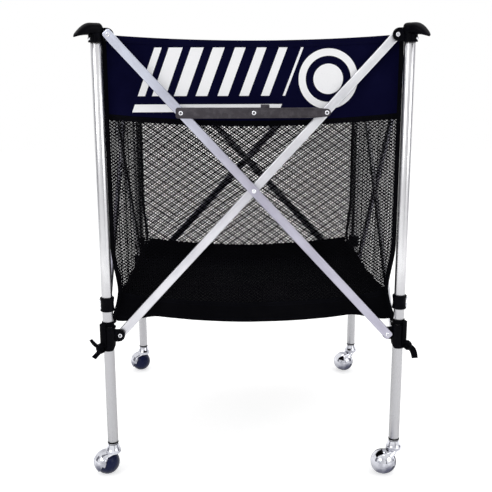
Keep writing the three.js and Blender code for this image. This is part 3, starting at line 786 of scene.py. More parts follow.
@dataclass
class Plan:
    """Where the frame holds the legs and the pivots."""

    centre: Vector = field(default_factory=Vector)
    half: float = 0.0
    inset: float = 0.0
    top: float = 0.0
    low: float = 0.0

    @classmethod
    def read(cls, frame: dict[str, Any]) -> "Plan":
        """Works the plan out from the leg tubes and the joints.


        Returns:
            The plan.
        """
        middles = [sum(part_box(f"leg_tube_{name}"), Vector()) / 2 for name in LEGS]
        centre = sum(middles, Vector()) / len(middles)
        joints = {joint["name"]: Vector(joint.get("pos_m", (0, 0, 0))) for joint in frame["joints"]}
        return cls(
            centre=Vector((centre.x, centre.y, 0)),
            half=centre.x - middles[0].x,
            inset=joints["fold"].x - middles[0].x,
            top=joints["fold"].z,
            low=joints["front_left_slider"].z,
        )

    @property
    def cross(self) -> float:
        """Height of the crossings."""
        return (self.top + self.low) / 2

    @property
    def span(self) -> float:
        """Distance between the pivots of one face."""
        return 2 * (self.half - self.inset)

    @property
    def lean(self) -> float:
        """Angle of the bars from upright."""
        return math.atan2(self.span, self.top - self.low)

    @property
    def bar_length(self) -> float:
        """Distance between the end rivets of a bar."""
        return math.hypot(self.span, self.top - self.low)

    def face(self, index: int) -> Matrix:
        """From the front face's coordinates about the cart's middle to those of a face."""
        return Matrix.Translation(self.centre) @ spin(index * QUARTER)

    def leg(self, index: int) -> Matrix:
        """From coordinates about a leg's axis, with its ears towards x and y."""
        return self.face(index) @ Matrix.Translation((-self.half, -self.half, 0))


def legs_and_faces() -> Iterable[tuple[int, str, str]]:
    """The number, leg and face of each quarter."""
    return [(index, LEGS[index], FACES[index]) for index in range(len(LEGS))]


@dataclass(frozen=True)
class Stock:
    """Sizes that the sub-assemblies share."""

    tube: float = 0.011
    ear: float = 0.006
    slide: float = 0.0004
    rest: float = 0.0003
    bar_width: float = 0.018
    bar_thick: float = 0.0085
    bar_over: float = 0.009
    bar_round: float = 0.005
    shank: float = 0.003
    head: float = 0.0046
    head_thick: float = 0.0015
    dish: float = 0.0036
    past: float = 0.004

    @property
    def bar_offset(self) -> float:
        """From the legs' plane to the middle of a bar."""
        return self.ear / 2 + self.slide + self.bar_thick / 2

    @property
    def bar_face(self) -> float:
        """From the legs' plane to the far face of a bar."""
        return self.bar_offset + self.bar_thick / 2

    @property
    def bar_reach(self) -> float:
        """From a bar's end rivet to its farthest corner."""
        round_at = math.hypot(self.bar_over - self.bar_round, self.bar_width / 2 - self.bar_round)
        return round_at + self.bar_round


STOCK = Stock()


def rivet(name: str, length: float, body: str, place: Matrix) -> bpy.types.Object:
    """Makes a tubular rivet whose head stands on z = 0 and whose shank runs down.

    Args:
        name: the piece's name.
        length: what it clamps.
        body: what it rides on.
        place: from its coordinates to the cart's.

    Returns:
        The piece.
    """
    head, thick, shank = STOCK.head, STOCK.head_thick, STOCK.shank
    eye, bottom = shank * 0.7, thick - STOCK.dish
    front = [(0, bottom), (eye * 0.9, bottom), (eye, thick * 0.75), (shank * 0.9, thick),
             (head * 0.78, thick * 0.86), (head * 0.97, thick * 0.4), (head, 0), (shank, 0)]
    profile = front + [(radius, -length - z) for radius, z in reversed(front)]
    return fit(Body().lathe(profile, 28).made(name), RIVET, place, Role(body, "rivet"), 50)


@dataclass
class Ears:
    """The two pivot ears of a cap or slider, towards x and y of its leg."""

    plan: Plan
    pivot_z: float
    on_x: int
    radius: float = 0.013
    tip: float = 0.010
    root: float = 0.006

    def solid(self, body: Body) -> None:
        """Adds both ears to a moulding."""
        middle = self.plan.inset + self.tip - self.radius
        outline = [(self.root, self.pivot_z - self.radius)]
        outline += arc((middle, self.pivot_z), self.radius, -90, 90, 20)
        outline += [(self.root, self.pivot_z + self.radius)]
        for turn in range(2):
            body.prism(outline, -STOCK.ear / 2, STOCK.ear / 2, spin(turn * QUARTER))

    def cutters(self) -> bpy.types.Object:
        """The pockets that clear the bars' ends, and the rivet holes."""
        pockets, holes = Body(), Body()
        reach = STOCK.bar_reach + STOCK.slide
        near, far = STOCK.ear / 2, STOCK.bar_face + STOCK.past
        hole = STOCK.shank + STOCK.rest / 2
        low, high = sorted((-self.on_x * near, -self.on_x * far))
        pivot = Matrix.Translation((self.plan.inset, 0, self.pivot_z))
        for turn in range(2):
            at = spin(turn * QUARTER) @ pivot @ along_y()
            pockets.lathe(column(reach, low, high), 56, at)
            holes.lathe(column(hole, -far, far), 24, at)
        return carved(pockets.made("pockets"), holes.made("holes"), "UNION")


def moulded(made: bpy.types.Object, voxel: float, rounds: int) -> bpy.types.Object:
    """Melts overlapping shells into one moulding with soft inner corners.

    Args:
        made: the shells.
        voxel: size of the cells.
        rounds: how often the surface is smoothed.

    Returns:
        The same object.
    """
    settled(made, "REMESH", mode="VOXEL", voxel_size=voxel, adaptivity=0.0)
    return settled(made, "SMOOTH", factor=0.5, iterations=rounds)


@dataclass
class CornerCap:
    """Black cap on the top of a leg, with a beak over the outer corner."""

    plan: Plan
    under: float = 0.901
    top: float = 0.937
    neck: float = 0.0134
    lip: float = 0.015
    lip_thick: float = 0.0022
    dome: float = 0.0152
    dome_from: float = 0.919
    beak_reach: float = 0.046
    beak_heading: float = 217.0
    beak_drop: float = 0.0250
    beak_from: float = 0.013
    beak_under: float = 0.9145
    beak_sag: float = 0.0052
    beak_tip: float = 0.0066
    ribs: int = 5
    rib: float = 0.0012
    boss: float = 0.0045
    voxel: float = 0.00055
    bore_top: float = 0.9303

    def beak_section(self, reach: float, steps: int = 24) -> list[tuple[float, float, float]]:
        """The outline of the beak square to its length.

        Args:
            reach: distance from the leg's axis.
            steps: points in the outline.

        Returns:
            The points.
        """
        along = max(0.0, reach - self.beak_from) / (self.beak_reach - self.beak_from)
        high = self.top - self.beak_drop * along ** 1.7
        low = self.beak_under - self.beak_sag * max(0.0, reach / self.beak_reach) ** 3
        blunt = math.sqrt(max(0.0, 1 - max(0.0, (along - 0.78) / 0.22) ** 2.4))
        wide = (self.dome * (1 - along) + self.beak_tip * along + 0.0016 * math.sin(math.pi * along)) * (
            0.25 + 0.75 * blunt)
        tall = max(0.0008, (high - low) / 2)
        points = []
        for step in range(steps):
            angle = TURN * step / steps
            c, s = math.cos(angle), math.sin(angle)
            crown = 2 / 2.5 if s > 0 else 2 / 3.4
            y = wide * math.copysign(abs(c) ** 0.8, c)
            points.append((reach, y, low + tall + tall * math.copysign(abs(s) ** crown, s)))
        return points

    def shells(self) -> Body:
        """Dome, neck, beak, ribs and boss as overlapping shells."""
        body = Body()
        drop = self.top - self.dome_from
        dome = [(self.dome * math.sin(turn), self.dome_from + drop * (1 - (1 - math.cos(turn)) ** 1.6))
                for turn in (QUARTER * step / 10 for step in range(11))]
        profile = dome + [(self.neck, self.dome_from - 0.003), (self.neck, self.under + self.lip_thick),
                          (self.lip, self.under + self.lip_thick), (self.lip, self.under), (0, self.under)]
        body.lathe(profile, 56)
        stations = [-0.006 + (self.beak_reach + 0.006) * step / 20 for step in range(21)]
        turned = spin(math.radians(self.beak_heading))
        body.loft([self.beak_section(reach) for reach in stations], turned)
        for rib in range(self.ribs):
            angle = math.radians(self.beak_heading) + (rib - (self.ribs - 1) / 2) * 0.42
            at = spin(angle) @ Matrix.Translation((self.neck, 0, 0))
            body.lathe(column(self.rib, self.under, self.dome_from), 12, at)
        reach = math.sqrt(2) * (self.plan.half - self.bag_half()) - STOCK.rest
        middle = Matrix.Translation((0, 0, (self.under + self.dome_from) / 2))
        at = spin(QUARTER / 2) @ middle @ Matrix.Rotation(QUARTER, 4, "Y")
        body.lathe(column(self.boss, STOCK.tube, reach), 24, at)
        return body

    def bag_half(self) -> float:
        """From the middle of the cart to the outer face of the bag."""
        low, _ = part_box("bag_band_front")
        return self.plan.centre.y - low.y

    def build(self) -> bpy.types.Mesh:
        """The cap's mesh in its leg's coordinates."""
        ears = Ears(self.plan, self.plan.top, -1)
        body = self.shells()
        ears.solid(body)
        made = moulded(body.made("cap_form"), self.voxel, 4)
        carved(made, ears.cutters())
        bore = STOCK.tube + STOCK.rest
        return mesh_of(bored(made, bore, self.under - STOCK.past, self.bore_top))


@dataclass
class Slider:
    """Sliding collar that carries the lower scissor pivots."""

    plan: Plan
    radius: float = 0.0145
    above: float = 0.020
    below: float = 0.018
    lip: float = 0.016
    lip_thick: float = 0.003
    groove: float = 0.0006
    skirt: float = 0.0130
    skirt_slant: float = 46.0
    skirt_foot: float = 0.029
    skirt_bore: float = 0.0122
    voxel: float = 0.0005

    def build(self) -> bpy.types.Mesh:
        """The slider's mesh in its leg's coordinates."""
        ears = Ears(self.plan, self.plan.low, 1)
        low, high = self.plan.low - self.below - self.skirt, self.plan.low + self.above
        lip_under = high - self.lip_thick
        profile = [(0, low), (self.radius - 0.001, low), (self.radius, low + 0.002),
                   (self.radius, lip_under - 0.004), (self.radius - self.groove, lip_under - 0.003),
                   (self.radius - self.groove, lip_under),
                   (self.lip, lip_under), (self.lip, high - 0.0006), (self.lip - 0.0008, high), (0, high)]
        body = Body().lathe(profile, 64)
        ears.solid(body)
        made = moulded(body.made("slider_form"), self.voxel, 3)
        carved(made, ears.cutters())
        bore = STOCK.tube + STOCK.slide
        bored(made, bore, low - STOCK.past, high + STOCK.past)
        bored(made, self.skirt_bore, low - STOCK.past, self.plan.low - self.below)
        wide = 4 * self.radius
        foot = spin(QUARTER / 2) @ Matrix.Translation((0, 0, self.plan.low - self.skirt_foot))
        tilt = foot @ Matrix.Rotation(-math.radians(self.skirt_slant), 4, "Y")
        cut = Body().prism(block(-wide, -wide, wide, 0), -wide, wide, tilt)
        return mesh_of(carved(made, cut.made("slant")))


def stud(name: str, body: str, place: Matrix, foot: float, face: float, rim: float,
         radius: float) -> bpy.types.Object:
    """Makes a blind rivet that stands out of the side of a moulding.

    Args:
        name: the piece's name.
        body: what it rides on.
        place: from coordinates about the leg, with the rivet along x, to the cart's.
        foot: where its shank starts, from the leg's axis.
        face: the moulding's surface, from the leg's axis.
        rim: the top of its head, from the leg's axis.
        radius: of its head.

    Returns:
        The piece.
    """
    head = [(0, rim - 0.0016), (radius * 0.34, rim - 0.0016), (radius * 0.42, rim),
            (radius * 0.72, rim - 0.0001), (radius * 0.95, rim - 0.0009), (radius, face),
            (radius * 0.6, foot), (0, foot)]
    made = Body().lathe(head, 28).made(name)
    return fit(made, RIVET, place @ Matrix.Rotation(QUARTER, 4, "Y"), Role(body, "rivet"), 50)


@dataclass
class StopCollar:
    """Fixed ring above the slider, held by two rivets on its outer side."""

    low: float = 0.369
    high: float = 0.398
    radius: float = 0.0146
    waist: float = 0.0011
    round_over: float = 0.0012
    rivet: float = 0.0041
    pitch: float = 0.014
    proud: float = 0.0021
    swing: float = 15.0

    def build(self, place: Matrix, name: str, body: str, outward: float) -> None:
        """Makes the ring and its rivets.

        Args:
            place: from the leg's coordinates to the cart's.
            name: the leg's name.
            body: the leg's body.
            outward: angle of the rivets about the leg.
        """
        bore, middle, over = STOCK.tube + STOCK.rest, (self.low + self.high) / 2, self.round_over
        inner = self.radius - self.waist
        profile = [(bore, self.low), (self.radius - over, self.low), (self.radius, self.low + over),
                   (self.radius, self.low + 3 * over), (inner, middle - 3 * over), (inner, middle + 3 * over),
                   (self.radius, self.high - 3 * over), (self.radius, self.high - over),
                   (self.radius - over, self.high), (bore, self.high), (bore, self.low)]
        ring = Body().lathe(profile, 64).made(f"stop_collar.{name}")
        fit(ring, PLASTIC, place, Role(body, "moulding", (f"stop_collar_{name}",)), 60)
        swing = math.radians(self.swing) * (-1 if outward < 0 else 1)
        turned = place @ spin(outward + swing)
        for number, side in enumerate((-1, 1)):
            at = turned @ Matrix.Translation((0, 0, middle + side * self.pitch / 2))
            head = self.radius + self.proud
            stud(f"collar_rivet.{name}.{number}", body, at, bore + over, inner, head, self.rivet)


def strap(points: Sequence[Sequence[float]], across: Sequence[Sequence[float]],
          width: Sequence[float] | float, thick: float, steps: int = 6) -> Body:
    """Webbing along a smooth curve through points.

    Args:
        points: where the middle of the webbing runs.
        across: the direction of its width at each point.
        width: its width, or one at each point.
        thick: its thickness.
        steps: stretches between two points.

    Returns:
        The webbing as a closed body.
    """
    wide = [width] * len(points) if isinstance(width, float) else list(width)
    rows = [Vector((*point, *axis, size)) for point, axis, size in zip(points, across, wide)]
    ends = [2 * rows[0] - rows[1]] + rows + [2 * rows[-1] - rows[-2]]
    smooth = []
    for a, b, c, d in zip(ends, ends[1:], ends[2:], ends[3:]):
        for step in range(steps):
            t = step / steps
            smooth.append(0.5 * (2 * b + (c - a) * t + (2 * a - 5 * b + 4 * c - d) * t ** 2
                                 + (3 * b - a - 3 * c + d) * t ** 3))
    smooth.append(rows[-1])
    unit = 0.010
    section = rounded(1.0, thick / unit, 0.45 * thick / unit, 3)
    sections = []
    for number, row in enumerate(smooth):
        before, after = smooth[max(0, number - 1)], smooth[min(len(smooth) - 1, number + 1)]
        tangent = Vector(after[:3]) - Vector(before[:3])
        side = Vector(row[3:6])
        side = (side - tangent.normalized() * side.dot(tangent.normalized())).normalized()
        normal = tangent.cross(side).normalized()
        middle = Vector(row[:3])
        sections.append([middle + side * (c * row[6]) + normal * (t * unit) for c, t in section])
    return Body().loft(sections)


@dataclass
class CornerTie:
    """Webbing that ties the bag's lower corner to its leg."""

    width: float = 0.0115
    thick: float = 0.0013
    loop_z: float = 0.3418
    loop_height: float = 0.009
    drop: float = 0.0172
    drop_wrap: float = 30.0
    heading: float = 230.0
    knot_z: float = 0.2935
    knot: float = 0.0098
    corner_lift: float = 0.003
    seam: float = 0.0138
    sling: float = 0.010

    def build(self, place: Matrix, name: str, body: str, side: int) -> None:
        """Makes the loop, the drop, the knot and the tails.

        Args:
            place: from the leg's coordinates to the cart's.
            name: the leg's name.
            body: the leg's body.
            side: 1 for the front left and back right legs, -1 for the others.
        """
        around = STOCK.tube + STOCK.rest + self.thick / 2
        half = self.loop_height / 2
        ring = [(around - self.thick / 2, self.loop_z - half), (around + self.thick / 2, self.loop_z - half),
                (around + self.thick / 2, self.loop_z + half), (around - self.thick / 2, self.loop_z + half),
                (around - self.thick / 2, self.loop_z - half)]
        outward = spin(2 * QUARTER if side > 0 else -QUARTER)
        tie = Body().lathe(ring, 40)
        upright = (0.0, 0.0, 1.0)
        reach = math.sqrt(2) * self.seam - STOCK.rest
        sling = strap([(around, 0, self.loop_z), (around + 0.003, 0, self.loop_z + 0.001),
                       (reach, 0, self.loop_z + self.corner_lift)], [upright] * 3, self.sling, self.thick)
        tie.add(sling.points, sling.faces, spin(QUARTER / 2))
        turned = spin(math.radians(self.heading))
        tie.loft(self.drop_sections(around), turned)
        spot = turned @ Vector((self.drop + self.knot * 0.55, 0, self.knot_z))
        tie.add(*self.knotted(), Matrix.Translation(spot) @ turned)
        for tail in self.tails(side):
            tie.add(tail.points, tail.faces, Matrix.Translation(spot) @ outward)
        fit(tie.made(f"bag_tie.{name}"), TAPE, place, Role(body, "tape", (f"bag_tie_{name}",)), 35)

    def drop_sections(self, around: float) -> list[list[tuple[float, float, float]]]:
        """The webbing that runs down from the loop, wrapped round the slider's path."""
        half, sections = self.thick / 2, []
        levels = [(self.loop_z + 0.0026, around), (self.loop_z + 0.0016, (around + self.drop) / 2)]
        levels += [(self.loop_z - step * 0.008, self.drop) for step in range(6)] + [(self.knot_z, self.drop)]
        for z, radius in levels:
            outer = arc((0.0, 0.0), radius + half, -self.drop_wrap, self.drop_wrap, 8)
            inner = arc((0.0, 0.0), radius - half, self.drop_wrap, -self.drop_wrap, 8)
            sections.append([(x, y, z) for x, y in outer + inner])
        return sections

    def knotted(self) -> tuple[list[Vector], list[tuple[int, ...]]]:
        """Three crossing turns of webbing about the middle of the knot."""
        knot = Body()
        for turn, (tilt, size) in enumerate(((28.0, 1.0), (-34.0, 0.92), (88.0, 0.62))):
            angle = math.radians(tilt)
            points, axes = [], []
            for step in range(13):
                swing = TURN * step / 12
                wide = self.knot * size
                flat = Vector((wide * 0.8 * math.cos(swing), 0, wide * math.sin(swing)))
                points.append(Matrix.Rotation(angle, 3, "X") @ flat)
                axes.append(Matrix.Rotation(angle, 3, "X") @ Vector((0, 1, 0)))
            band = strap(points, axes, self.width * (0.8 - 0.08 * turn), self.thick * 1.3, 2)
            knot.add(band.points, band.faces)
        return knot.points, knot.faces

    def tails(self, side: int) -> list[Body]:
        """The free ends, outward along x: two for side 1, and a wide one for side -1."""
        flat = 0.3 * side
        if side < 0:
            wide = strap([(-0.006, 0, 0.002), (0.003, 0.001, -0.003), (0.0105, 0.002, -0.0095),
                          (0.0150, 0.003, -0.019), (0.0175, 0.004, -0.030)],
                         [(0.7, flat, 0.7), (0.7, flat, 0.7), (0.8, flat, 0.5), (0.9, flat, 0.2),
                          (0.9, flat, 0.3)],
                         [0.0120, 0.0135, 0.0140, 0.0135, 0.0125], self.thick)
            return [wide]
        up = strap([(0, 0, 0.001), (0.0060, 0, 0.0045), (0.0125, 0.001, 0.0105), (0.0190, 0.002, 0.0200)],
                   [(-0.5, flat, 0.8), (-0.5, flat, 0.8), (-0.6, flat, 0.7), (-0.7, flat, 0.5)],
                   [0.0085, 0.0095, 0.0095, 0.0075], self.thick)
        down = strap([(-0.004, 0, -0.001), (0.002, 0, -0.0065), (0.0085, 0, -0.0135), (0.0150, 0, -0.0205)],
                     [(0.6, flat, 0.7), (0.6, flat, 0.7), (0.6, flat, 0.6), (0.9, flat, 0.3)],
                     [0.010, 0.0105, 0.0105, 0.0110], self.thick)
        return [up, down]


@dataclass
class Leg:
    """A leg tube and what is fixed or slides on it."""

    plan: Plan
    wall: float = 0.0012
    foot: float = 0.080
    top: float = 0.930
    lip: float = 0.0003
    socket_top: float = 0.112
    socket_lip: float = 0.003
    socket_lip_radius: float = 0.0116
    stem: float = 0.0055
    stud_z: float = 0.9080
    stud_radius: float = 0.0038
    stud_aside: float = 13.0

    def build_all(self) -> None:
        """Makes the four legs, with one cap mesh and one slider mesh for all."""
        cap, slider = CornerCap(self.plan).build(), Slider(self.plan).build()
        for index, name, _ in legs_and_faces():
            place, body = self.plan.leg(index), LEG_BODIES[index]
            outward = 2 * QUARTER if index % 2 == 0 else -QUARTER
            self.tube(place, name, body)
            self.shared(cap, "corner_cap", name, body, place)
            self.shared(slider, "slider", name, f"slider_{name}", place)
            StopCollar().build(place, name, body, outward)
            self.socket(place, name, body)
            aside = self.stud_aside if index % 2 else -self.stud_aside
            turned = spin(2.5 * QUARTER + math.radians(aside))
            at, neck = place @ turned @ Matrix.Translation((0, 0, self.stud_z)), CornerCap.neck
            stud(f"cap_rivet.{name}", body, at, neck - 0.001, neck, neck + 0.0026, self.stud_radius)
            CornerTie().build(place, name, body, 1 if index % 2 == 0 else -1)

    def tube(self, place: Matrix, name: str, body: str) -> None:
        """Makes the open tube with its edges broken."""
        inner, outer, lip = STOCK.tube - self.wall, STOCK.tube, self.lip
        profile = [(inner, self.foot), (outer - lip, self.foot), (outer, self.foot + lip),
                   (outer, self.top - lip), (outer - lip, self.top), (inner, self.top), (inner, self.foot)]
        made = Body().lathe(profile, 96).made(f"leg_tube.{name}")
        fit(made, TUBE, place, Role(body, "tube", (f"leg_tube_{name}",)), 60)

    def shared(self, mesh: bpy.types.Mesh, kind: str, name: str, body: str, place: Matrix) -> None:
        """Places a copy of a mesh that all four legs share."""
        made = linked(f"{kind}.{name}", mesh.copy())
        fit(made, PLASTIC, place, Role(body, "moulding", (f"{kind}_{name}",)), 38)

    def socket(self, place: Matrix, name: str, body: str) -> None:
        """Makes the bush in the foot of the tube."""
        low = self.foot - STOCK.rest - self.socket_lip
        outer, bore = STOCK.tube - self.wall - STOCK.rest, self.stem + STOCK.rest
        edge = self.socket_lip * 0.25
        profile = [(bore, low), (self.socket_lip_radius - edge, low), (self.socket_lip_radius, low + edge),
                   (self.socket_lip_radius, low + self.socket_lip - edge / 2),
                   (self.socket_lip_radius - edge / 2, low + self.socket_lip), (outer, low + self.socket_lip),
                   (outer, self.socket_top), (bore, self.socket_top), (bore, low)]
        made = Body().lathe(profile, 48).made(f"caster_socket.{name}")
        fit(made, PLASTIC, place, Role(body, "moulding", (f"caster_socket_{name}",)), 50)


@dataclass
class ScissorPair:
    """The two crossing bars of one face, with their rivets."""

    plan: Plan
    wall: float = 0.0014
    edge: float = 0.0022
    spacer: float = 0.007

    def bar(self) -> bpy.types.Mesh:
        """One flat tube along z, with its crossing at the middle."""
        length = self.plan.bar_length + 2 * STOCK.bar_over
        outline = rounded(STOCK.bar_width, length, STOCK.bar_round, 8)
        made = Body().prism(outline, -STOCK.bar_thick / 2, STOCK.bar_thick / 2).made("bar_form")
        bevelled(made, self.edge, 4, 60)
        x, y = STOCK.bar_width / 2 - self.wall, STOCK.bar_thick / 2 - self.wall
        hollow = Body().prism(block(-x, -length, x, length), -y, y)
        return mesh_of(carved(made, hollow.made("hollow")))

    def build_all(self) -> None:
        """Makes the pairs of the four faces."""
        mesh = self.bar()
        for index, _, name in legs_and_faces():
            face = self.plan.face(index)
            for kind, side in (("outer", -1), ("inner", 1)):
                at = face @ Matrix.Translation((0, side * STOCK.bar_offset - self.plan.half, self.plan.cross))
                place = at @ Matrix.Rotation(side * self.plan.lean, 4, "Y")
                made = linked(f"scissor_{kind}.{name}", mesh.copy())
                body = f"bar_{kind}_{name}"
                finish = OUTER_BAR if kind == "outer" else INNER_BAR
                fit(made, finish, place, Role(body, "bar", (f"scissor_{kind}_{name}",)), 50)
                self.end_rivets(place, kind, name, body, side)
            self.crossing(face, name)

    def end_rivets(self, place: Matrix, kind: str, name: str, body: str, side: int) -> None:
        """Makes the rivets that hold a bar to the ears at both ends."""
        through = STOCK.bar_thick + STOCK.slide + STOCK.ear + STOCK.rest
        for end in (-1, 1):
            at = Matrix.Translation((0, side * STOCK.bar_thick / 2, end * self.plan.bar_length / 2))
            turned = at @ Matrix.Rotation(QUARTER * -side, 4, "X")
            word = "low" if end < 0 else "top"
            rivet(f"end_rivet.{kind}.{name}.{word}", through, body, place @ turned)

    def crossing(self, face: Matrix, name: str) -> None:
        """Makes the rivet and the spacer at the crossing."""
        at = face @ Matrix.Translation((0, -self.plan.half, self.plan.cross))
        inner = STOCK.bar_face - STOCK.bar_thick - STOCK.rest
        outer = STOCK.bar_face + STOCK.rest
        head, thick, shank = STOCK.head, STOCK.head_thick, STOCK.shank
        cap = [(0, outer + thick * 0.3), (shank * 0.5, outer + thick * 0.3), (shank * 0.6, outer + thick),
               (head * 0.8, outer + thick * 0.86), (head, outer), (shank, outer), (shank, inner),
               (self.spacer, inner)]
        profile = cap + [(radius, -z) for radius, z in reversed(cap)]
        made = Body().lathe(profile, 36).made(f"crossing_rivet.{name}")
        role = Role(f"bar_outer_{name}", "rivet", (f"crossing_rivet_{name}",))
        fit(made, RIVET, at @ along_y(), role, 50)


@dataclass
class LockStrut:
    """The two links across the front scissor that lock the cart open."""

    plan: Plan
    rise: float = 0.153
    left_tall: float = 0.021
    right_tall: float = 0.0195
    thick: float = 0.0022
    over: float = 0.010
    corner: float = 0.005
    lip: float = 0.003
    lip_thick: float = 0.0015
    flat_end: float = 0.022
    end_radius: float = 0.0075
    spacer: float = 0.005
    tab_from: float = 0.013
    tab_to: float = 0.030
    tab_rise: float = 0.0055
    tab_neck: float = 0.006

    @property
    def half(self) -> float:
        """From the centre rivet to the rivets in the bars."""
        return self.rise * math.tan(self.plan.lean)

    def build(self) -> None:
        """Makes both links and the three rivets."""
        at = self.plan.face(0) @ Matrix.Translation((0, -self.plan.half, self.plan.cross + self.rise))
        back = STOCK.bar_face + STOCK.slide
        front = back + self.thick
        self.left(at, -front, -back)
        self.right(at, -front - STOCK.slide - self.thick, -front - STOCK.slide)
        deep = front + STOCK.slide + self.thick + STOCK.rest
        spots = ((-self.half, -front, front - (STOCK.bar_face - STOCK.bar_thick), "left", "link_left", ()),
                 (0.0, -deep, deep - back + STOCK.rest, "centre", "link_left", ("lock_strut_rivet",)),
                 (self.half, -front - STOCK.slide - self.thick, self.thick, "right", "link_right", ()))
        for x, y, length, word, body, stands_for in spots:
            place = at @ Matrix.Translation((x, y, 0)) @ along_y()
            made = rivet(f"strut_rivet.{word}", length, body, place)
            if stands_for:
                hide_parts(*stands_for)

    def left(self, at: Matrix, low: float, high: float) -> None:
        """Makes the flat link with the thumb tab, drawn from the centre rivet."""
        tall, corner = self.left_tall / 2, self.corner
        start = -self.half - self.over
        made = Body().prism(self.left_outline(tall, corner, start), low, high).made("lock_link.left")
        bevelled(made, 0.0005, 2, 40)
        fit(made, STEEL, at, Role("link_left", "link", ("lock_link_left",)), 40)

    def left_outline(self, tall: float, corner: float, start: float) -> Outline:
        """The left link's outline, anticlockwise from its lower left corner."""
        neck = tall - self.tab_neck
        meet = math.degrees(math.asin(neck / tall))
        round_tip = 0.002
        outline = arc((start + corner, corner - tall), corner, 180, 270, 6)
        outline += arc((0, 0), tall, -90, meet, 16)
        outline += arc((self.tab_to - round_tip, neck + round_tip), round_tip, -90, 0, 4)
        outline += arc((self.tab_to - round_tip, tall + self.tab_rise - round_tip), round_tip, 0, 90, 4)
        outline += [(self.tab_from, tall + self.tab_rise), (self.tab_from, tall - STOCK.rest)]
        outline += [(0, tall - STOCK.rest)]
        outline += arc((start + corner, tall - corner), corner, 90, 180, 6)
        return outline

    def right(self, at: Matrix, low: float, high: float) -> None:
        """Makes the channel link, with its flat end at the inner bar."""
        tall, end, flat = self.right_tall / 2, self.end_radius, self.half - self.flat_end
        outline = arc((0, 0), tall, 90, 270, 20) + [(flat, -tall)]
        outline += arc((self.half, 0), end, -90, 90, 12) + [(flat, tall)]
        made = Body().prism(outline, low, high).made("lock_link.right")
        for edge in (-tall, tall - self.lip_thick):
            lip = block(0, edge, flat, edge + self.lip_thick)
            carved(made, Body().prism(lip, low - self.lip, high).made("lip"), "UNION")
        bar = STOCK.bar_face - STOCK.bar_thick - STOCK.rest
        spacer = column(self.spacer, bar, -high + self.thick / 2)
        centre = Matrix.Translation((self.half, 0, 0)) @ along_y()
        carved(made, Body().lathe(spacer, 32, centre).made("stub"), "UNION")
        bevelled(made, 0.0004, 2, 40)
        fit(made, STEEL, at, Role("link_right", "link", ("lock_link_right",)), 40)


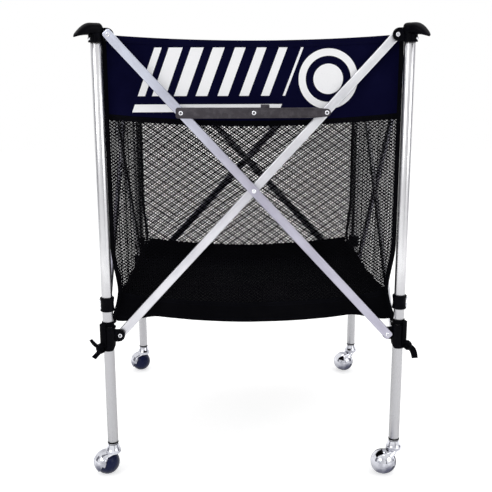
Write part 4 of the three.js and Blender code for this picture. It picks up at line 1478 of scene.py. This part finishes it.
@dataclass
class Caster:
    """Swivel caster whose ball wheel turns half inside a chromed hood."""

    plan: Plan
    ball: float = 0.026
    trail: float = 0.016
    side: float = 0.012
    lift: float = 20.0
    hood: float = 0.0276
    hood_deep: float = 0.0302
    hood_wall: float = 0.0013
    rim_at: float = 0.008
    rim: float = 0.0006
    lower_rim: float = 0.0140
    lower_from: float = 0.004
    floor_clear: float = 0.0084
    bead: float = 0.0010
    tread_end: float = 0.0125
    hub: float = 0.009
    hub_end: float = 0.0145
    grooves: tuple[float, ...] = (-0.0095, 0.0012)
    groove_wide: float = 0.0009
    groove_deep: float = 0.0006
    axle: float = 0.003
    axle_depth: float = 0.014
    boss: float = 0.0065
    cup: float = 0.0162
    cup_low: float = 0.0545
    cup_high: float = 0.063
    cone_top: float = 0.0752
    neck: float = 0.012
    neck_from: float = 0.009
    neck_to: float = 0.020
    neck_spread: float = 0.7
    stem_neck: float = 0.0096
    stem: float = 0.0055
    stem_foot: float = 0.0764
    stem_top: float = 0.108
    headings: tuple[float, ...] = (105.0, 150.0, 155.0, 85.0)

    def about_axle(self) -> Matrix:
        """From coordinates about the axle to those about the swivel.

        Returns:
            The placing, which has the trail along x and the hood towards y.
        """
        lean = math.radians(self.lift) - QUARTER
        return Matrix.Translation((self.trail, self.side, self.ball)) @ Matrix.Rotation(lean, 4, "X")

    @staticmethod
    def ball_arc(radius: float, low: float, high: float, steps: int = 20, deep: float = 0.0) -> Outline:
        """Half outline between two heights of a ball about z, or of an oval that is deep along z."""
        tall = deep or radius
        first, last = math.asin(low / tall), math.asin(high / tall)
        turns = [first + (last - first) * step / steps for step in range(steps + 1)]
        return [(max(0.0, radius * math.cos(turn)), tall * math.sin(turn)) for turn in turns]

    def shoulder(self, along: float) -> float:
        """The hood's radius at a height on the axle."""
        return self.hood * math.sqrt(1 - (along / self.hood_deep) ** 2)

    def turned(self, name: str, profile: Outline, sides: int) -> bpy.types.Object:
        """A form turned about the axle."""
        return Body().lathe(profile, sides, self.about_axle()).made(name)

    def wheel(self) -> bpy.types.Mesh:
        """The ball wheel's mesh, with two fine grooves round its tread."""
        bore, deep = self.axle + STOCK.rest, self.hub_end - self.axle_depth - STOCK.rest
        profile = self.ball_arc(self.ball, -self.ball, self.tread_end, 48)
        profile += [(self.hub + 0.001, self.tread_end), (self.hub, self.tread_end + 0.001),
                    (self.hub, self.hub_end - 0.0005), (self.hub - 0.0005, self.hub_end),
                    (bore, self.hub_end), (bore, deep), (0, deep)]
        grooved = []
        for radius, z in profile:
            near = sum(math.exp(-((z - at) / self.groove_wide) ** 2) for at in self.grooves)
            dip = near * self.groove_deep if radius > self.hub + 0.002 else 0.0
            grooved.append((max(0.0, radius - dip), z))
        return mesh_of(Body().lathe(grooved, 96).made("wheel_form"))

    def neck_loft(self) -> Body:
        """The neck from the swivel cup down onto the hood's shoulder."""
        towards = math.atan2(self.ball - self.cup_low, -self.trail)
        middle, half = (self.neck_from + self.neck_to) / 2, (self.neck_to - self.neck_from) / 2
        sink, lows = 0.0012, []
        for number in range(36):
            angle = TURN * number / 36
            along = middle + half * math.sin(angle)
            turn = towards + self.neck_spread * math.cos(angle)
            radius = self.shoulder(along) - sink
            lows.append(self.about_axle() @ Vector((radius * math.cos(turn), radius * math.sin(turn), along)))
        centre = sum(lows, Vector()) / len(lows)
        sections = []
        for step in range(9):
            t = step / 8
            ease, ring = t * t * (3 - 2 * t), []
            for low in lows:
                facing = math.atan2(low.y - centre.y, low.x - centre.x)
                x, y = self.neck * math.cos(facing), self.neck * math.sin(facing)
                high = Vector((x, y, self.cup_low + 0.002))
                flat = low.lerp(high, ease)
                ring.append((flat.x, flat.y, low.lerp(high, t).z))
            sections.append(ring)
        return Body().loft(sections)

    def edge_bead(self) -> bpy.types.Object:
        """The rolled edge round the hood's lower half."""
        around = self.shoulder(self.lower_rim) - self.bead * 0.4
        profile = arc((around, self.lower_rim), self.bead, 0, 360, 14)
        profile[-1] = profile[0]
        made = self.turned("bead", profile, 96)
        return carved(made, self.lower_half(2 * self.hood), "INTERSECT")

    def lower_half(self, top: float) -> bpy.types.Object:
        """The space below the axle and up to a height along it."""
        past = 3 * self.hood
        space = Body().prism(block(-past, -past, past, top), self.lower_from, past, self.about_axle())
        return space.made("lower_half")

    def hood_mesh(self) -> bpy.types.Mesh:
        """The hood with its neck, swivel cup, stem and axle."""
        shell, deep = self.hood - self.hood_wall, self.hood_deep - self.hood_wall
        edge = self.shoulder(self.rim_at)
        dome = [(0, self.rim_at), (edge + self.rim, self.rim_at), (edge + self.rim, self.rim_at + 0.0014)]
        dome += self.ball_arc(self.hood, self.rim_at + 0.0022, self.hood_deep, 40, self.hood_deep)
        made = self.turned("hood_form", dome, 96)
        carved(made, self.neck_loft().made("neck"), "UNION")
        past = 3 * self.hood
        under = block(-past, -past, past, self.floor_clear)
        cup = [(0, self.cup_low), (self.cup - 0.002, self.cup_low),
               (self.cup - 0.0006, self.cup_low + 0.0006),
               (self.cup, self.cup_low + 0.002), (self.cup, self.cup_low + 0.0042),
               (self.cup - 0.0009, self.cup_low + 0.0047), (self.cup - 0.0009, self.cup_low + 0.0053),
               (self.cup, self.cup_low + 0.0058), (self.cup, self.cup_high - 0.0012),
               (self.cup - 0.0012, self.cup_high), (self.stem_neck + 0.0036, self.cup_high + 0.0052),
               (self.stem_neck + 0.0014, self.cone_top - 0.0008),
               (self.stem_neck, self.cone_top), (self.stem_neck, self.stem_foot), (self.stem, self.stem_foot),
               (self.stem, self.stem_top - 0.001), (self.stem - 0.001, self.stem_top), (0, self.stem_top)]
        carved(made, Body().lathe(cup, 72).made("cup"), "UNION")
        hollow = [(0, -self.rim_at)] + self.ball_arc(shell, -self.rim_at, deep, 36, deep)
        carved(made, self.turned("hollow", hollow, 80))
        room = self.ball + STOCK.rest + STOCK.slide
        space = self.ball_arc(room, -room, self.rim_at, 36) + [(0, self.rim_at)]
        carved(made, self.turned("room", space, 80))
        carved(made, self.lower_half(self.lower_rim))
        carved(made, self.edge_bead(), "UNION")
        carved(made, Body().prism(under, -past, past).made("under"))
        pin = [(0, self.hub_end - self.axle_depth), (self.axle, self.hub_end - self.axle_depth),
               (self.axle, self.hub_end + STOCK.rest), (self.boss, self.hub_end + STOCK.rest),
               (self.boss, deep - 0.0004), (0, deep - 0.0004)]
        carved(made, self.turned("pin", pin, 32), "UNION")
        tip = self.hood_deep
        dimple = [(0, tip - 0.0011), (0.0026, tip - 0.001), (0.0034, tip + 0.001), (0, tip + 0.001)]
        return mesh_of(carved(made, self.turned("dimple", dimple, 32)))

    def build_all(self) -> None:
        """Makes the four casters, each turned to its own heading."""
        hood, wheel = self.hood_mesh(), self.wheel()
        for index, name, _ in legs_and_faces():
            corner = self.plan.leg(index) @ Vector((0, 0, 0))
            turned = Matrix.Translation(corner) @ spin(math.radians(self.headings[index]))
            made = linked(f"caster_hood.{name}", hood.copy())
            fit(made, CHROME, turned, Role(f"caster_{name}", "chrome", (f"caster_hood_{name}",)), 40)
            made = linked(f"ball_wheel.{name}", wheel.copy())
            place = turned @ self.about_axle()
            fit(made, RUBBER, place, Role(f"wheel_{name}", "wheel", (f"ball_wheel_{name}",)), 40)


def clamped(share: float) -> float:
    """A share kept from 0 to 1."""
    return min(1.0, max(0.0, share))


def eased(share: float) -> float:
    """A share from 0 to 1 with soft ends."""
    kept = clamped(share)
    return kept * kept * (3 - 2 * kept)


def hung(corner: float, middle: float, u: float) -> float:
    """Height of an edge that hangs between two corners, at u from -1 to 1."""
    return middle + (corner - middle) * u * u


def layered(wide: int, tall: int) -> list[tuple[int, ...]]:
    """The faces of a cloth of two layers, closed round its edges.

    Args:
        wide: points in a row.
        tall: rows in a layer.

    Returns:
        The faces, for points given row by row with the outer layer first.
    """
    faces, layer = [], wide * tall
    for row in range(tall - 1):
        for step in range(wide - 1):
            a = row * wide + step
            b = a + layer
            faces += [(a, a + 1, a + wide + 1, a + wide), (b, b + wide, b + wide + 1, b + 1)]
    for row in (0, tall - 1):
        for step in range(wide - 1):
            a = row * wide + step
            faces.append((a, a + 1, a + 1 + layer, a + layer))
    for step in (0, wide - 1):
        for row in range(tall - 1):
            a = row * wide + step
            faces.append((a, a + wide, a + wide + layer, a + layer))
    return faces


@dataclass
class BagShape:
    """How the bag hangs. Each wall is drawn in its face's coordinates, with u from -1 to 1 across it."""

    plan: Plan
    band_corner: float = 0.916
    band_middle: float = 0.905
    low_corner: float = 0.756
    low_middle: float = 0.742
    seam_corner: float = 0.396
    seam_middle: float = 0.374
    hem_corner: float = 0.362
    hem_middle: float = 0.337
    draw_in: float = 0.0105
    draw_from: float = 0.505
    draw_to: float = 0.400
    tab_from: float = 0.72
    tab_top: float = 0.400
    tab_tall: float = 0.050
    tab_out: float = 0.0165
    tab_drop: float = 0.020
    cloth: float = 0.0013
    fold_least: float = 0.0016
    fold_more: float = 0.0042
    waves: tuple[tuple[float, ...], ...] = ((0.5, 9.3, 1.1, 1.0), (0.32, 17.9, -2.3, -0.7),
                                            (0.18, 31.0, 0.9, 1.9))
    half: float = 0.0

    def __post_init__(self) -> None:
        """Reads how far out the walls stand from the frame."""
        low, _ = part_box("bag_band_front")
        self.half = self.plan.centre.y - low.y - self.cloth

    def top(self, u: float) -> float:
        """Height of the band's upper edge."""
        return hung(self.band_corner, self.band_middle, u)

    def band_low(self, u: float) -> float:
        """Height of the band's lower edge."""
        return hung(self.low_corner, self.low_middle, u)

    def seam(self, u: float) -> float:
        """Height of the seam between the net and the skirt."""
        return hung(self.seam_corner, self.seam_middle, u)

    def hem(self, u: float) -> float:
        """Height of the skirt's lower edge."""
        return hung(self.hem_corner, self.hem_middle, u)

    def drawn(self, z: float) -> float:
        """How far the ties draw the corners in at a height."""
        return self.draw_in * eased((self.draw_from - z) / (self.draw_from - self.draw_to))

    def tab(self, u: float, z: float) -> float:
        """How far the lower corners are pulled towards their legs, from 0 to 1."""
        return self.near_edge(u) * eased((self.tab_top - z) / self.tab_tall)

    def near_edge(self, u: float) -> float:
        """0 over the middle of a wall and 1 at its ends."""
        return eased((abs(u) - self.tab_from) / (1 - self.tab_from))

    def folds(self, u: float, z: float, wall: int) -> float:
        """How far the cloth's folds stand in from its plane."""
        slack = clamped((self.band_corner - z) / 0.08)
        depth = self.fold_least + self.fold_more * slack * clamped((self.low_corner + 0.02 - z) / 0.12)
        calm = (1 - abs(u) ** 6) * (0.25 + 0.75 * clamped((z - self.hem_middle) / 0.09))
        lean = (z - self.hem_middle) * 1.4
        wave = sum(size * math.sin(rate * u + by_wall * wall + by_lean * lean)
                   for size, rate, by_wall, by_lean in self.waves)
        return depth * calm * (0.5 + 0.5 * wave)

    def across(self, x: float) -> float:
        """The u of a place across a wall, kept on the wall."""
        return max(-1.0, min(1.0, x / self.half))

    def point(self, u: float, z: float, wall: int, proud: float = 0.0) -> Vector:
        """A point of a wall.

        Args:
            u: place across the wall.
            z: height.
            wall: number of the face.
            proud: how far outside the cloth's middle.

        Returns:
            The point in the face's coordinates.
        """
        drawn, pull = self.drawn(z), self.tab(u, z)
        out = self.tab_out * pull
        x = u * (self.half - drawn) + math.copysign(out, u)
        y = drawn * abs(u) ** 6 - self.half + self.folds(u, z, wall) - out - proud
        return Vector((x, y, z - self.tab_drop * pull))

    def cloth_body(self, wall: int, rows: Sequence[tuple[Callable[[float], float], float, float]],
                   columns: int) -> Body:
        """A closed piece of cloth on a wall.

        Args:
            wall: number of the face.
            rows: for each row its height over u, its thickness and how far it stands proud.
            columns: stretches across.

        Returns:
            The cloth.
        """
        edge = 1 - self.cloth / self.half
        points = []
        for layer in (1, -1):
            for height, thick, proud in rows:
                for step in range(columns + 1):
                    u = edge * (2 * step / columns - 1)
                    points.append(self.point(u, height(u), wall, proud + layer * thick / 2))
        return Body().add(points, layered(columns + 1, len(rows)))


def between(low: Callable[[float], float], high: Callable[[float], float], share: float,
            lift: float = 0.0) -> Callable[[float], float]:
    """A height over u at a share of the way from one edge to another, plus a lift."""
    return lambda u: low(u) * (1 - share) + high(u) * share + lift


@dataclass
class NetBag:
    """Fabric bag: a band, net walls and skirts on four faces, and a floor in two halves."""

    plan: Plan
    shape: BagShape
    keep: float = 0.2235
    flange: float = 0.0052
    hem_tall: float = 0.013
    hem_thick: float = 0.0028
    binding_tall: float = 0.011
    cord_wide: float = 0.0019
    cord_thick: float = 0.0003
    cord_pitch: float = 0.00944
    cord_slope: float = 0.697
    cord_step: float = 0.013
    cord_tuck: float = 0.003
    stitch: float = 0.0027
    stitch_gap: float = 0.0015
    stitch_thick: float = 0.0005

    def build_all(self) -> None:
        """Makes the walls, the corner seams and the floor."""
        for index, leg, name in legs_and_faces():
            self.band(index, name)
            self.net(index, name)
            self.skirt(index, name)
            self.corner_seam(index, leg)
        self.floor_half("front", 1)
        self.floor_half("back", -1)

    def hang(self, made: bpy.types.Object, index: int, finish: Finish, slot: str,
             stands_for: tuple[str, ...] = (), smooth: float = 60.0) -> bpy.types.Object:
        """Fits a piece of one wall onto its face's body and gives it its own mesh."""
        fit(made, finish, self.plan.face(index), Role(FACE_BODIES[index], slot, stands_for), smooth)
        return self.gather(made, index % 2)

    def gather(self, made: bpy.types.Object, along_y_axis: int) -> bpy.types.Object:
        """Gives a piece of cloth its own copy of its mesh."""
        low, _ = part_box("bag_band_front")
        reach = self.shape.half + self.shape.cloth
        anchor = (low.x, self.plan.centre.y - reach, 0.0)
        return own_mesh(made)

    def band(self, index: int, name: str) -> None:
        """Makes the solid band along the top of a wall, with its hem, binding and stitching."""
        shape, thick = self.shape, self.shape.cloth
        hem, edge = self.hem_thick, 0.0006
        bulge = (hem - thick) / 2
        level = partial(between, shape.band_low, shape.top)
        rows = [(level(0.0), thick * 0.4, 0.0), (level(0.0, 0.0008), thick, 0.0)]
        rows += [(level(step / 14), thick, 0.0) for step in range(1, 13)]
        rows += [(level(1.0, -self.hem_tall - edge), thick, 0.0), (level(1.0, -self.hem_tall), hem, bulge),
                 (level(1.0, -0.005), hem, bulge), (level(1.0, -0.0012), hem * 0.92, bulge),
                 (level(1.0), hem * 0.35, bulge)]
        made = shape.cloth_body(index, rows, 96).made(f"bag_band.{name}")
        write_outside(made)
        self.hang(made, index, PRINT if index == 0 else BAND, "band", (f"bag_band_{name}",))
        binding = self.strip(index, shape.band_low, -0.001, self.binding_tall, 0.0021, f"band_binding.{name}")
        lines = ((shape.top, 0.003 - self.hem_tall, bulge + hem / 2), (shape.top, -0.0045, bulge + hem / 2),
                 (shape.band_low, 0.0015, 0.0011), (shape.band_low, self.binding_tall - 0.0035, 0.0011))
        thread = self.stitching(index, lines, f"band_stitching.{name}")
        span, tall = 2 * shape.half, shape.band_corner - shape.low_corner

    def strip(self, index: int, edge: Callable[[float], float], low: float, tall: float, thick: float,
              name: str) -> bpy.types.Object:
        """Makes a tape bound over an edge of the cloth."""
        level, border = partial(between, edge, edge, 0), 0.0006
        rows = [(level(low), thick * 0.4, 0.0), (level(low + border), thick, 0.0),
                (level(low + tall * 0.5), thick * 1.04, 0.0), (level(low + tall - border), thick, 0.0),
                (level(low + tall), thick * 0.5, 0.0)]
        made = self.shape.cloth_body(index, rows, 96).made(name)
        return self.hang(made, index, TAPE, "tape")

    def stitching(self, index: int, lines: Sequence[tuple[Callable[[float], float], float, float]],
                  name: str) -> bpy.types.Object:
        """Makes rows of thread stitches on the outside of a wall.

        Args:
            index: number of the face.
            lines: for each row the edge that it follows, its lift and how far it stands proud.
            name: the piece's name.

        Returns:
            The stitches as one piece.
        """
        body, shape = Body(), self.shape
        half, pitch = shape.half - 0.006, self.stitch + self.stitch_gap
        count = int(2 * half / pitch)
        for edge, lift, proud in lines:
            for number in range(count):
                ends = [((number + shift) * pitch - half) / shape.half
                        for shift in (0.0, self.stitch / pitch)]
                spots = [shape.point(u, edge(u) + lift, index, proud) for u in ends]
                body.add(*self.thread(spots[0], spots[1]))
        return self.hang(body.made(name), index, THREAD, "tape")

    def thread(self, start: Vector, end: Vector) -> tuple[list[Vector], list[tuple[int, ...]]]:
        """One stitch between two points, raised in its middle."""
        wide, out = self.stitch_thick / 2, Vector((0, -self.stitch_thick * 0.7, 0))
        up = Vector((0, 0, wide))
        points = [start - up, start + up]
        for share in (0.25, 0.75):
            middle = start.lerp(end, share)
            points += [middle - up, middle + up, middle + up * 0.5 + out, middle - up * 0.5 + out]
        points += [end - up, end + up]
        faces = [(0, 1, 4, 5), (0, 5, 2), (1, 3, 4), (2, 5, 9, 6), (5, 4, 8, 9), (4, 3, 7, 8), (9, 8, 11, 10),
                 (6, 9, 10), (8, 7, 11), (0, 2, 3, 1), (2, 6, 7, 3), (6, 10, 11, 7)]
        return points, faces

    def net(self, index: int, name: str) -> None:
        """Makes the net as two families of crossing cords."""
        shape, body = self.shape, Body()
        for family in (1, -1):
            self.cords(body, index, family)
        made = body.made(f"bag_net.{name}")
        self.hang(made, index, NET, "net", (f"bag_net_{name}",), 30)
        tall = shape.low_corner - shape.seam_corner
        2 * shape.half

    def cords(self, body: Body, index: int, family: int) -> None:
        """Adds one family of parallel slanting cords to a net.

        Args:
            body: the net so far.
            index: number of the face.
            family: 1 for cords that rise to the right, -1 for the others.
        """
        shape = self.shape
        half, floor, ceiling = shape.half - 0.001, shape.hem_middle, shape.band_corner
        slope, length = self.cord_slope, math.hypot(1.0, self.cord_slope)
        count = int((half + (ceiling - floor) / slope) / self.cord_pitch) + 2
        wide, thick = self.cord_wide / 2, self.cord_thick / 2
        side = (wide * slope / length, -family * wide / length)
        for number in range(-count, count + 1):
            origin = number * self.cord_pitch
            low, high = self.ends(origin, family, half)
            if high - low < self.cord_wide:
                continue
            steps = max(2, round((high - low) * length / slope / self.cord_step))
            sections = []
            for step in range(steps + 1):
                z = low + (high - low) * step / steps
                x = origin + family * (z - shape.seam_middle) / slope
                corners = []
                for across, out in ((-1, -1), (1, -1), (1, 1), (-1, 1)):
                    u = shape.across(x + across * side[0])
                    proud = out * thick + family * thick * 0.8
                    corners.append(shape.point(u, z + across * side[1], index, proud))
                sections.append(corners)
            body.loft(sections)

    def ends(self, origin: float, family: int, half: float) -> tuple[float, float]:
        """The heights between which a slanting cord lies inside its wall."""
        shape, slope = self.shape, self.cord_slope

        def place(z: float) -> float:
            """The cord's u at a height."""
            return shape.across(origin + family * (z - shape.seam_middle) / slope)

        limits = sorted(shape.seam_middle + family * slope * (edge - origin) for edge in (-half, half))
        low, high, tuck = shape.seam_middle, shape.low_corner, self.cord_tuck
        for _ in range(6):
            low, high = shape.seam(place(low)) - tuck, shape.band_low(place(high)) + tuck
        return max(low, limits[0]), min(high, limits[1])

    def skirt(self, index: int, name: str) -> None:
        """Makes the solid cloth below the net, with its seam tape and stitching."""
        shape, thick = self.shape, self.shape.cloth
        level = partial(between, shape.hem, shape.seam)
        rows = [(level(0.0), self.hem_thick * 0.4, 0.0), (level(0.0, 0.001), self.hem_thick, 0.0),
                (level(0.0, 0.008), self.hem_thick, 0.0), (level(0.0, 0.0086), thick, 0.0)]
        rows += [(level(share), thick, 0.0) for share in (0.4, 0.6, 0.8, 1.0)]
        made = shape.cloth_body(index, rows, 80).made(f"bag_skirt.{name}")
        self.hang(made, index, SKIRT, "net")
        tape = self.strip(index, shape.seam, -0.004, 0.009, 0.0022, f"skirt_tape.{name}")
        lines = ((shape.seam, -0.0025, 0.0012), (shape.seam, 0.0035, 0.0012),
                 (shape.hem, 0.0065, self.hem_thick / 2))
        thread = self.stitching(index, lines, f"skirt_stitching.{name}")
        tall = shape.seam_corner - shape.hem_corner
        2 * shape.half

    def corner_seam(self, index: int, leg: str) -> None:
        """Makes the bound seam that stands out towards the leg where two walls meet."""
        shape, points, axes = self.shape, [], []
        steps = 26
        for step in range(steps + 1):
            z = shape.hem_corner + (shape.band_corner - shape.hem_corner - 0.001) * step / steps
            points.append(shape.point(-1.0, z, index) - Vector((0.5, 0.5, 0)) * self.flange)
            axes.append((1.0, 1.0, 0.0))
        piping = strap(points, axes, math.sqrt(2) * (self.flange + 0.002), 0.0026, 2)
        made = piping.made(f"corner_seam.{leg}")
        fit(made, TAPE, self.plan.face(index), Role(LEG_BODIES[index], "tape"), 40)

    def floor_half(self, name: str, side: int) -> None:
        """Makes half of the floor cloth, from the middle fold to a wall.

        Args:
            name: front or back.
            side: 1 for the front half, -1 for the back half.
        """
        shape, across, along = self.shape, 72, 36
        drawn = shape.drawn(shape.hem_corner)
        reach, fold = 1 - 0.0022 / shape.half, -0.00015 / shape.half
        points = []
        for layer in (1, -1):
            for row in range(along + 1):
                for step in range(across + 1):
                    s = reach * (2 * step / across - 1)
                    t = -reach + (reach + fold) * row / along
                    x = s * (shape.half - drawn * abs(t) ** 6)
                    y = t * (shape.half - drawn * abs(s) ** 6)
                    z = shape.hem_middle + 0.0015 + (shape.hem_corner - shape.hem_middle) * (s * t) ** 2
                    pull = shape.tab(s, shape.hem_corner) * shape.near_edge(t)
                    out = shape.tab_out * pull
                    high = z + self.sag(side * s, side * t) + layer * shape.cloth / 2 - shape.tab_drop * pull
                    points.append((x + math.copysign(out, s), y + math.copysign(out, t), high))
        made = Body().add(points, layered(across + 1, along + 1)).made(f"bag_floor.{name}")
        turn = self.plan.face(0 if side > 0 else 2)
        fit(made, FLOOR, turn, Role(f"floor_{name}", "floor_cloth", (f"bag_floor_{name}",)), 60)
        self.gather(made, 0)
        2 * shape.half * reach
        shape.half * reach

    def sag(self, s: float, t: float) -> float:
        """Shallow dents and pulls in the floor cloth, still at its edges."""
        calm = (1 - s ** 4) * (1 - t ** 4)
        pull = math.sin(6.0 * (s + t)) * math.sin(7.0 * (s - t) + 0.8)
        return calm * (0.0022 * pull + 0.0012 * math.sin(15 * s + 2) * math.sin(11 * t + 1) - 0.001)


@dataclass
class Studio:
    """Camera at the photograph's viewing angle, white surroundings and soft lamps."""

    plan: Plan
    lens: float = 56.54
    stand: tuple[float, float, float] = (-0.048, -1.824, 0.838)
    yaw: float = 1.21
    pitch: float = 12.41
    roll: float = -0.16
    floor_size: float = 14.0
    ambient: float = 0.62
    glow: float = 0.60

    def camera(self) -> None:
        """Makes the camera."""
        data = bpy.data.cameras.new("camera")
        data.lens = self.lens
        data.clip_end = 60.0
        made = linked("camera", data)
        turn = spin(-math.radians(self.yaw))
        turn = turn @ Matrix.Rotation(QUARTER - math.radians(self.pitch), 4, "X")
        turn = turn @ spin(math.radians(self.roll))
        made.matrix_world = Matrix.Translation(self.plan.centre + Vector(self.stand)) @ turn
        bpy.context.scene.camera = made

    @staticmethod
    def seen(graph: Graph) -> Wire:
        """1 on rays that show the background itself, straight or in gloss or glass."""
        paths = [graph.node("ShaderNodeLightPath", {}, {}, f"Is {kind} Ray")
                 for kind in ("Camera", "Glossy", "Transmission")]
        return (paths[0] + paths[1] + paths[2]).least(1.0)

    def surroundings(self) -> None:
        """Makes the world, white where it is seen and softer where it lights."""
        world = bpy.data.worlds.new("studio_world")
        world.use_nodes = True
        graph = Graph(world.node_tree)
        soft = graph.node("ShaderNodeBackground", {}, {"Color": (1, 1, 1, 1), "Strength": self.ambient})
        white = graph.node("ShaderNodeBackground", {}, {"Color": (1, 1, 1, 1), "Strength": 1.0})
        both = graph.node("ShaderNodeMixShader", {}, {0: self.seen(graph), 1: soft, 2: white})
        graph.node("ShaderNodeOutputWorld", {}, {"Surface": both})
        bpy.context.scene.world = world

    @staticmethod
    def card(name: str, corners: Sequence[Sequence[float]]) -> tuple[bpy.types.Object, Graph]:
        """Makes a flat piece of the stage, with the empty graph of its material."""
        mesh = bpy.data.meshes.new(name)
        mesh.from_pydata(corners, [], [(0, 1, 2, 3)])
        made = linked(name, mesh)
        material, graph = blank(name)
        mesh.materials.append(material)
        return made, graph

    def floor(self) -> None:
        """Makes the white floor, which keeps the cart's soft shadow."""
        half = self.floor_size / 2
        corners = [(x, y, 0) for x, y in block(-half, -half, half, half)]
        made, graph = self.card("studio_floor", corners)
        matt = graph.node("ShaderNodeBsdfDiffuse", {}, {"Color": (0.8, 0.8, 0.8, 1)})
        glow = graph.node("ShaderNodeEmission", {}, {"Color": (1, 1, 1, 1), "Strength": self.glow})
        lit = graph.node("ShaderNodeAddShader", {}, {0: matt, 1: glow})
        both = graph.node("ShaderNodeMixShader", {}, {0: self.seen(graph), 1: matt, 2: lit})
        graph.node("ShaderNodeOutputMaterial", {}, {"Surface": both})

    def lamp(self, name: str, at: tuple[float, float, float], size: float, power: float) -> None:
        """Makes a soft lamp that faces the cart's middle."""
        data = bpy.data.lights.new(name, "AREA")
        data.shape = "SQUARE"
        data.size = size
        data.energy = power
        made = linked(name, data)
        made.location = at
        aim = Vector((0, 0, 0.5)) - Vector(at)
        made.rotation_euler = aim.to_track_quat("-Z", "Y").to_euler()

    def lamps(self) -> None:
        """Makes the key, the fill and the top lamp."""
        self.lamp("key", (-2.2, -2.6, 2.4), 1.6, 34.0)
        self.lamp("fill", (2.6, -2.0, 1.8), 1.6, 20.0)
        self.lamp("top", (0.2, 0.4, 3.2), 2.0, 22.0)

    def flag(self, name: str, at: tuple[float, float, float], width: float, height: float,
             shade: float) -> None:
        """Makes a dark card that only gloss sees, to give the metal its darker streaks."""
        x, z = width / 2, height / 2
        made, graph = self.card(name, [(a, 0, b) for a, b in block(-x, -z, x, z)])
        made.location = at
        made.rotation_euler = (0, 0, math.atan2(at[1], at[0]) - QUARTER)
        clear = graph.node("ShaderNodeBsdfTransparent", {}, {"Color": (1, 1, 1, 1)})
        dim = {"Color": (shade, shade, shade * 1.12, 1), "Strength": 1.0}
        dark = graph.node("ShaderNodeEmission", {}, dim)
        gloss = graph.node("ShaderNodeLightPath", {}, {}, "Is Glossy Ray")
        both = graph.node("ShaderNodeMixShader", {}, {0: gloss, 1: clear, 2: dark})
        graph.node("ShaderNodeOutputMaterial", {}, {"Surface": both})

    def flags(self) -> None:
        """Makes the dark cards behind and beside the camera."""
        self.flag("flag_right", (1.45, -3.4, 1.0), 0.55, 3.4, 0.16)
        self.flag("flag_left", (-3.6, -0.4, 1.0), 1.5, 3.4, 0.22)
        self.flag("flag_side", (3.6, 0.2, 1.0), 1.5, 3.4, 0.22)

    def build(self) -> None:
        """Makes all of it but the camera."""
        self.surroundings()
        self.floor()
        self.lamps()
        self.flags()
        bpy.context.scene.view_settings.view_transform = "Standard"


def main() -> None:
    """Builds the cart's sub-assemblies in order."""
    logging.basicConfig(level=logging.INFO, format="%(name)s: %(message)s")
    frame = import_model()
    plan = Plan.read(frame)
    studio = Studio(plan)
    studio.camera()
    Leg(plan).build_all()
    ScissorPair(plan).build_all()
    LockStrut(plan).build()
    Caster(plan).build_all()
    NetBag(plan, BagShape(plan)).build_all()
    studio.build()


if __name__ == "__main__":
    main()
